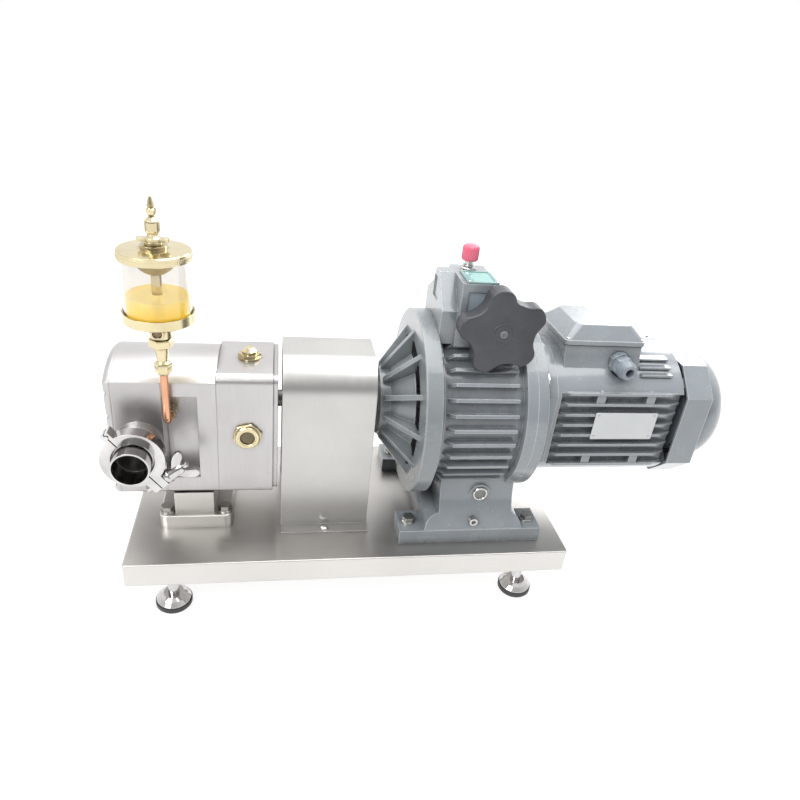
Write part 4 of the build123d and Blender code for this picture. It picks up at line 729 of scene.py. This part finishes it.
def makeWindow():
    x0, x1 = window["x"]
    y0, y1 = window["y"]
    rise, width, z, lap = window["rise"], window["frame"], window["z"], window["lap"]
    build = bmesh.new()
    slab(build, (x0, y0, z), (x1, y0 + width, z + rise))
    slab(build, (x0, y1 - width, z), (x1, y1, z + rise))
    slab(build, (x0, y0 + width - lap, z), (x0 + width, y1 - width + lap, z + rise))
    slab(build, (x1 - width, y0 + width - lap, z), (x1, y1 - width + lap, z + rise))
    addPiece("windowFrame", build, "tealFrame", root, bevel=0.5)
    build = bmesh.new()
    edge = width - window["paneLap"]
    slab(build, (x0 + edge, y0 + edge, z + window["paneLow"]),
         (x1 - edge, y1 - edge, z + window["paneHigh"]))
    addPiece("windowPane", build, "greenGlass", root, bevel=0.2)
    build = bmesh.new()
    slab(build, *zip(window["dialX"], window["dialY"], window["dialZ"]))
    addPiece("dialPane", build, "greyPane", root, bevel=0.3)
    build = bmesh.new()
    inset = window["screwInset"]
    for x, y in ((x0 + inset, y0 + inset), (x1 - inset, y0 + inset), (x0 + inset, y1 - inset),
                 (x1 - inset, y1 - inset)):
        turned(build, (x, y, z + rise), (0, 0, 1), window["screw"], 16)
    addPiece("windowScrews", build, "boltSteel", root)


# rating plate, terminal box details and shoulder ribs of the motor
motor = {"plateX": (177.0, 254.0), "plateZ": (207.0, 242.0), "plateY": -70.0, "plateThick": 0.8,
         "rivetInset": 4, "rivet": [(-0.3, 1.5), (0.3, 1.4), (0.7, 0.9), (0.85, 0)],
         "boxMid": 182.85, "lidLow": 312.0, "lidHalf": (49.0, 42.0), "lidThick": 5, "screwInset": 5.5,
         "lidScrew": [(-1, 3.4), (0.9, 3.4), (1.9, 2.8), (2.3, 1.4), (1.5, 1.2), (1.5, 0)],
         "knock": (165.9, -45.4, 286.0), "knockAim": (0, -1, 0.42),
         "knockRim": [(-1.5, 7.4), (0.5, 7.4), (0.5, 6.7), (-0.2, 6.5), (-0.2, 0)],
         "ribPlaces": (180.0, 240.5), "ribHalf": 2,
         "rib": [(50, 262.8), (69.5, 262.8), (69.5, 264.6), (50, 279)]}


def makeMotorParts():
    x0, x1 = motor["plateX"]
    z0, z1 = motor["plateZ"]
    y, inset = motor["plateY"], motor["rivetInset"]
    build = bmesh.new()
    prism(build, ((x0 + x1) / 2, y, (z0 + z1) / 2), front, (1, 0, 0), roundedOutline(x1 - x0, z1 - z0, 1.5),
          0.02, motor["plateThick"])
    addPiece("motorPlate", build, "plateMetal", root, bevel=0.2)
    build = bmesh.new()
    for x in (x0 + inset, x1 - inset):
        for z in (z0 + inset, z1 - inset):
            turned(build, (x, y - motor["plateThick"], z), front, motor["rivet"], 16)
    addPiece("plateRivets", build, "plateMetal", root)

    build = bmesh.new()
    halfX, halfY = motor["lidHalf"]
    prism(build, (motor["boxMid"], 0, motor["lidLow"]), (0, 0, 1), (1, 0, 0),
          roundedOutline(2 * halfX - 1.6, 2 * halfY - 1.6, 5), -1.1, 0.3)
    addPiece("lidGasket", build, "blackRubber", root)
    build = bmesh.new()
    reachX, reachY = halfX - motor["screwInset"], halfY - motor["screwInset"]
    for sideX in (-1, 1):
        for sideY in (-1, 1):
            place = (motor["boxMid"] + sideX * reachX, sideY * reachY, motor["lidLow"] + motor["lidThick"])
            turned(build, place, (0, 0, 1), motor["lidScrew"], 24)
    addPiece("lidScrews", build, "boltSteel", root, bevel=0.2)

    build = bmesh.new()
    turned(build, motor["knock"], motor["knockAim"], motor["knockRim"], 40)
    addPiece("knockOut", build, "greyPaint", root, sharp=30)

    build = bmesh.new()
    for x in motor["ribPlaces"]:
        prism(build, (x, 0, 0), (-1, 0, 0), front, motor["rib"], -motor["ribHalf"], motor["ribHalf"])
    addPiece("shoulderRibs", build, "greyPaint", root, bevel=0.6)


# cable gland on the terminal box
gland = {"place": (203.85, -39.0, 292.0), "bodyNut": (11.6, 1.2, 8.6), "capNut": (11.0, 10.2, 19.5),
         "cap": [(19.0, 5.3), (19.0, 10.9), (21.5, 10.7), (27, 9.6), (30.6, 8.0), (31.9, 6.6), (31.6, 5.3)],
         "capRibs": (12, 0.7, 2, 4)}


def makeGland():
    build = bmesh.new()
    flats, start, end = gland["bodyNut"]
    prism(build, gland["place"], front, (1, 0, 0.3), hexOutline(flats), start, end, 0.06, 0.9)
    flats, start, end = gland["capNut"]
    prism(build, gland["place"], front, (1, 0, 0.3), hexOutline(flats), start, end, 0.05, 0.9)
    addPiece("glandNuts", build, "glandPlastic", root, bevel=0.5)
    build = bmesh.new()
    turned(build, gland["place"], front, gland["cap"], 96, joinEnds=True, ribs=gland["capRibs"])
    addPiece("glandCap", build, "glandPlastic", root, sharp=40)


makeOiler()
makeFittings()
makeWingNut("frontWingNut", "front_wing_nut", -1)
makeWingNut("rearWingNut", "rear_wing_nut", 1)
makeClampThreads()
makeFootThreads()
makeVariatorParts()
makeWindow()
makeMotorParts()
makeGland()
print("pieces made")


# studio: pale floor, soft lights and a sky that is dim behind the camera
# lights are (name, place, aim, size, power), in metres and watts
studio = {"floorSize": 60.0, "floorTone": (0.24, 0.24, 0.24), "floorPatch": (0.22, 0.22, 0.22),
          "floorGlow": 0.84, "skyTop": 1.15, "skyFront": 0.22,
          "lights": [("keyLight", (-1.2, -1.0, 1.5), (-0.1, 0, 0.2), (1.2, 0.9), 26.0),
                     ("topLight", (0.2, 0.2, 1.9), (0, 0, 0.2), (2.2, 1.4), 34.0),
                     ("backLight", (1.3, 1.2, 1.2), (0.1, 0, 0.2), (1.0, 1.0), 16.0)]}


def makeFloor():
    mesh = bpy.data.meshes.new("floor")
    half = studio["floorSize"] / 2
    build = bmesh.new()
    bmesh.ops.create_grid(build, x_segments=8, y_segments=8, size=half)
    build.to_mesh(mesh)
    build.free()
    floor = bpy.data.objects.new("floor", mesh)
    bpy.context.scene.collection.objects.link(floor)
    made, tree, shader = newFinish("paleFloor")
    skin = useGroup(tree, castSkin, Grain=120.0, Lumps=20.0, GrainShare=0.3)
    join(tree, blendColour(tree, spread(tree, skin.outputs["Patches"], 0.0, 0.1), studio["floorTone"],
                           studio["floorPatch"]), shader.inputs["Base Color"])
    shader.inputs["Roughness"].default_value = 0.7
    shader.inputs["Emission Color"].default_value = (1.0, 1.0, 1.0, 1.0)
    shader.inputs["Emission Strength"].default_value = studio["floorGlow"]
    mesh.materials.append(made)


def makeSky():
    world = bpy.data.worlds.new("studioSky")
    bpy.context.scene.world = world
    world.use_nodes = True
    tree = world.node_tree
    tree.nodes.clear()
    end = tree.nodes.new("ShaderNodeOutputWorld")
    light = tree.nodes.new("ShaderNodeBackground")
    join(tree, light.outputs[0], end.inputs["Surface"])
    place = addNode(tree, "ShaderNodeTexCoord")
    parts = addNode(tree, "ShaderNodeSeparateXYZ")
    join(tree, place.outputs["Generated"], parts.inputs[0])
    lift = addNode(tree, "ShaderNodeMath", operation="MULTIPLY_ADD")
    lift.inputs[1].default_value = 0.8
    join(tree, parts.outputs["Z"], lift.inputs[0])
    join(tree, parts.outputs["Y"], lift.inputs[2])
    # the camera itself sees an even white
    ray = addNode(tree, "ShaderNodeLightPath")
    seen = addNode(tree, "ShaderNodeMix", data_type="FLOAT")
    join(tree, ray.outputs["Is Camera Ray"], seen.inputs[0])
    join(tree, spread(tree, lift.outputs[0], studio["skyFront"], studio["skyTop"], -0.9, 0.5),
         seen.inputs[2])
    seen.inputs[3].default_value = 1.0
    join(tree, seen.outputs[0], light.inputs["Strength"])
    light.inputs["Color"].default_value = (1.0, 1.0, 1.0, 1.0)


def areaLight(name, place, aim, size, power):
    data = bpy.data.lights.new(name, "AREA")
    data.shape = "RECTANGLE"
    data.size, data.size_y = size
    data.energy = power
    lamp = bpy.data.objects.new(name, data)
    bpy.context.scene.collection.objects.link(lamp)
    lamp.location = place
    lamp.rotation_mode = "QUATERNION"
    lamp.rotation_quaternion = (Vector(aim) - Vector(place)).to_track_quat("-Z", "Y")


# camera place and directions in metres, lens and sensor in millimetres
camera = {"place": (-0.1798, -0.67378, 0.58661), "ahead": (0.18684, 0.85849, -0.47759),
          "up": (-0.0085, 0.495, 0.869), "lens": 29.80, "sensor": 36.0, "shift": (-0.0019, 0.0048)}


def makeCamera():
    data = bpy.data.cameras.new("camera")
    data.lens = camera["lens"]
    data.sensor_width = camera["sensor"]
    data.shift_x, data.shift_y = camera["shift"]
    data.clip_start = 0.02
    data.clip_end = 60.0
    viewer = bpy.data.objects.new("camera", data)
    bpy.context.scene.collection.objects.link(viewer)
    back = -Vector(camera["ahead"]).normalized()
    right = Vector(camera["up"]).cross(back).normalized()
    up = back.cross(right)
    turn = Matrix((right, up, back)).transposed().to_4x4()
    viewer.matrix_world = Matrix.Translation(camera["place"]) @ turn
    bpy.context.scene.camera = viewer


makeFloor()
makeSky()
for light in studio["lights"]:
    areaLight(*light)
makeCamera()
bpy.context.scene.view_settings.view_transform = "Standard"
print("studio made")
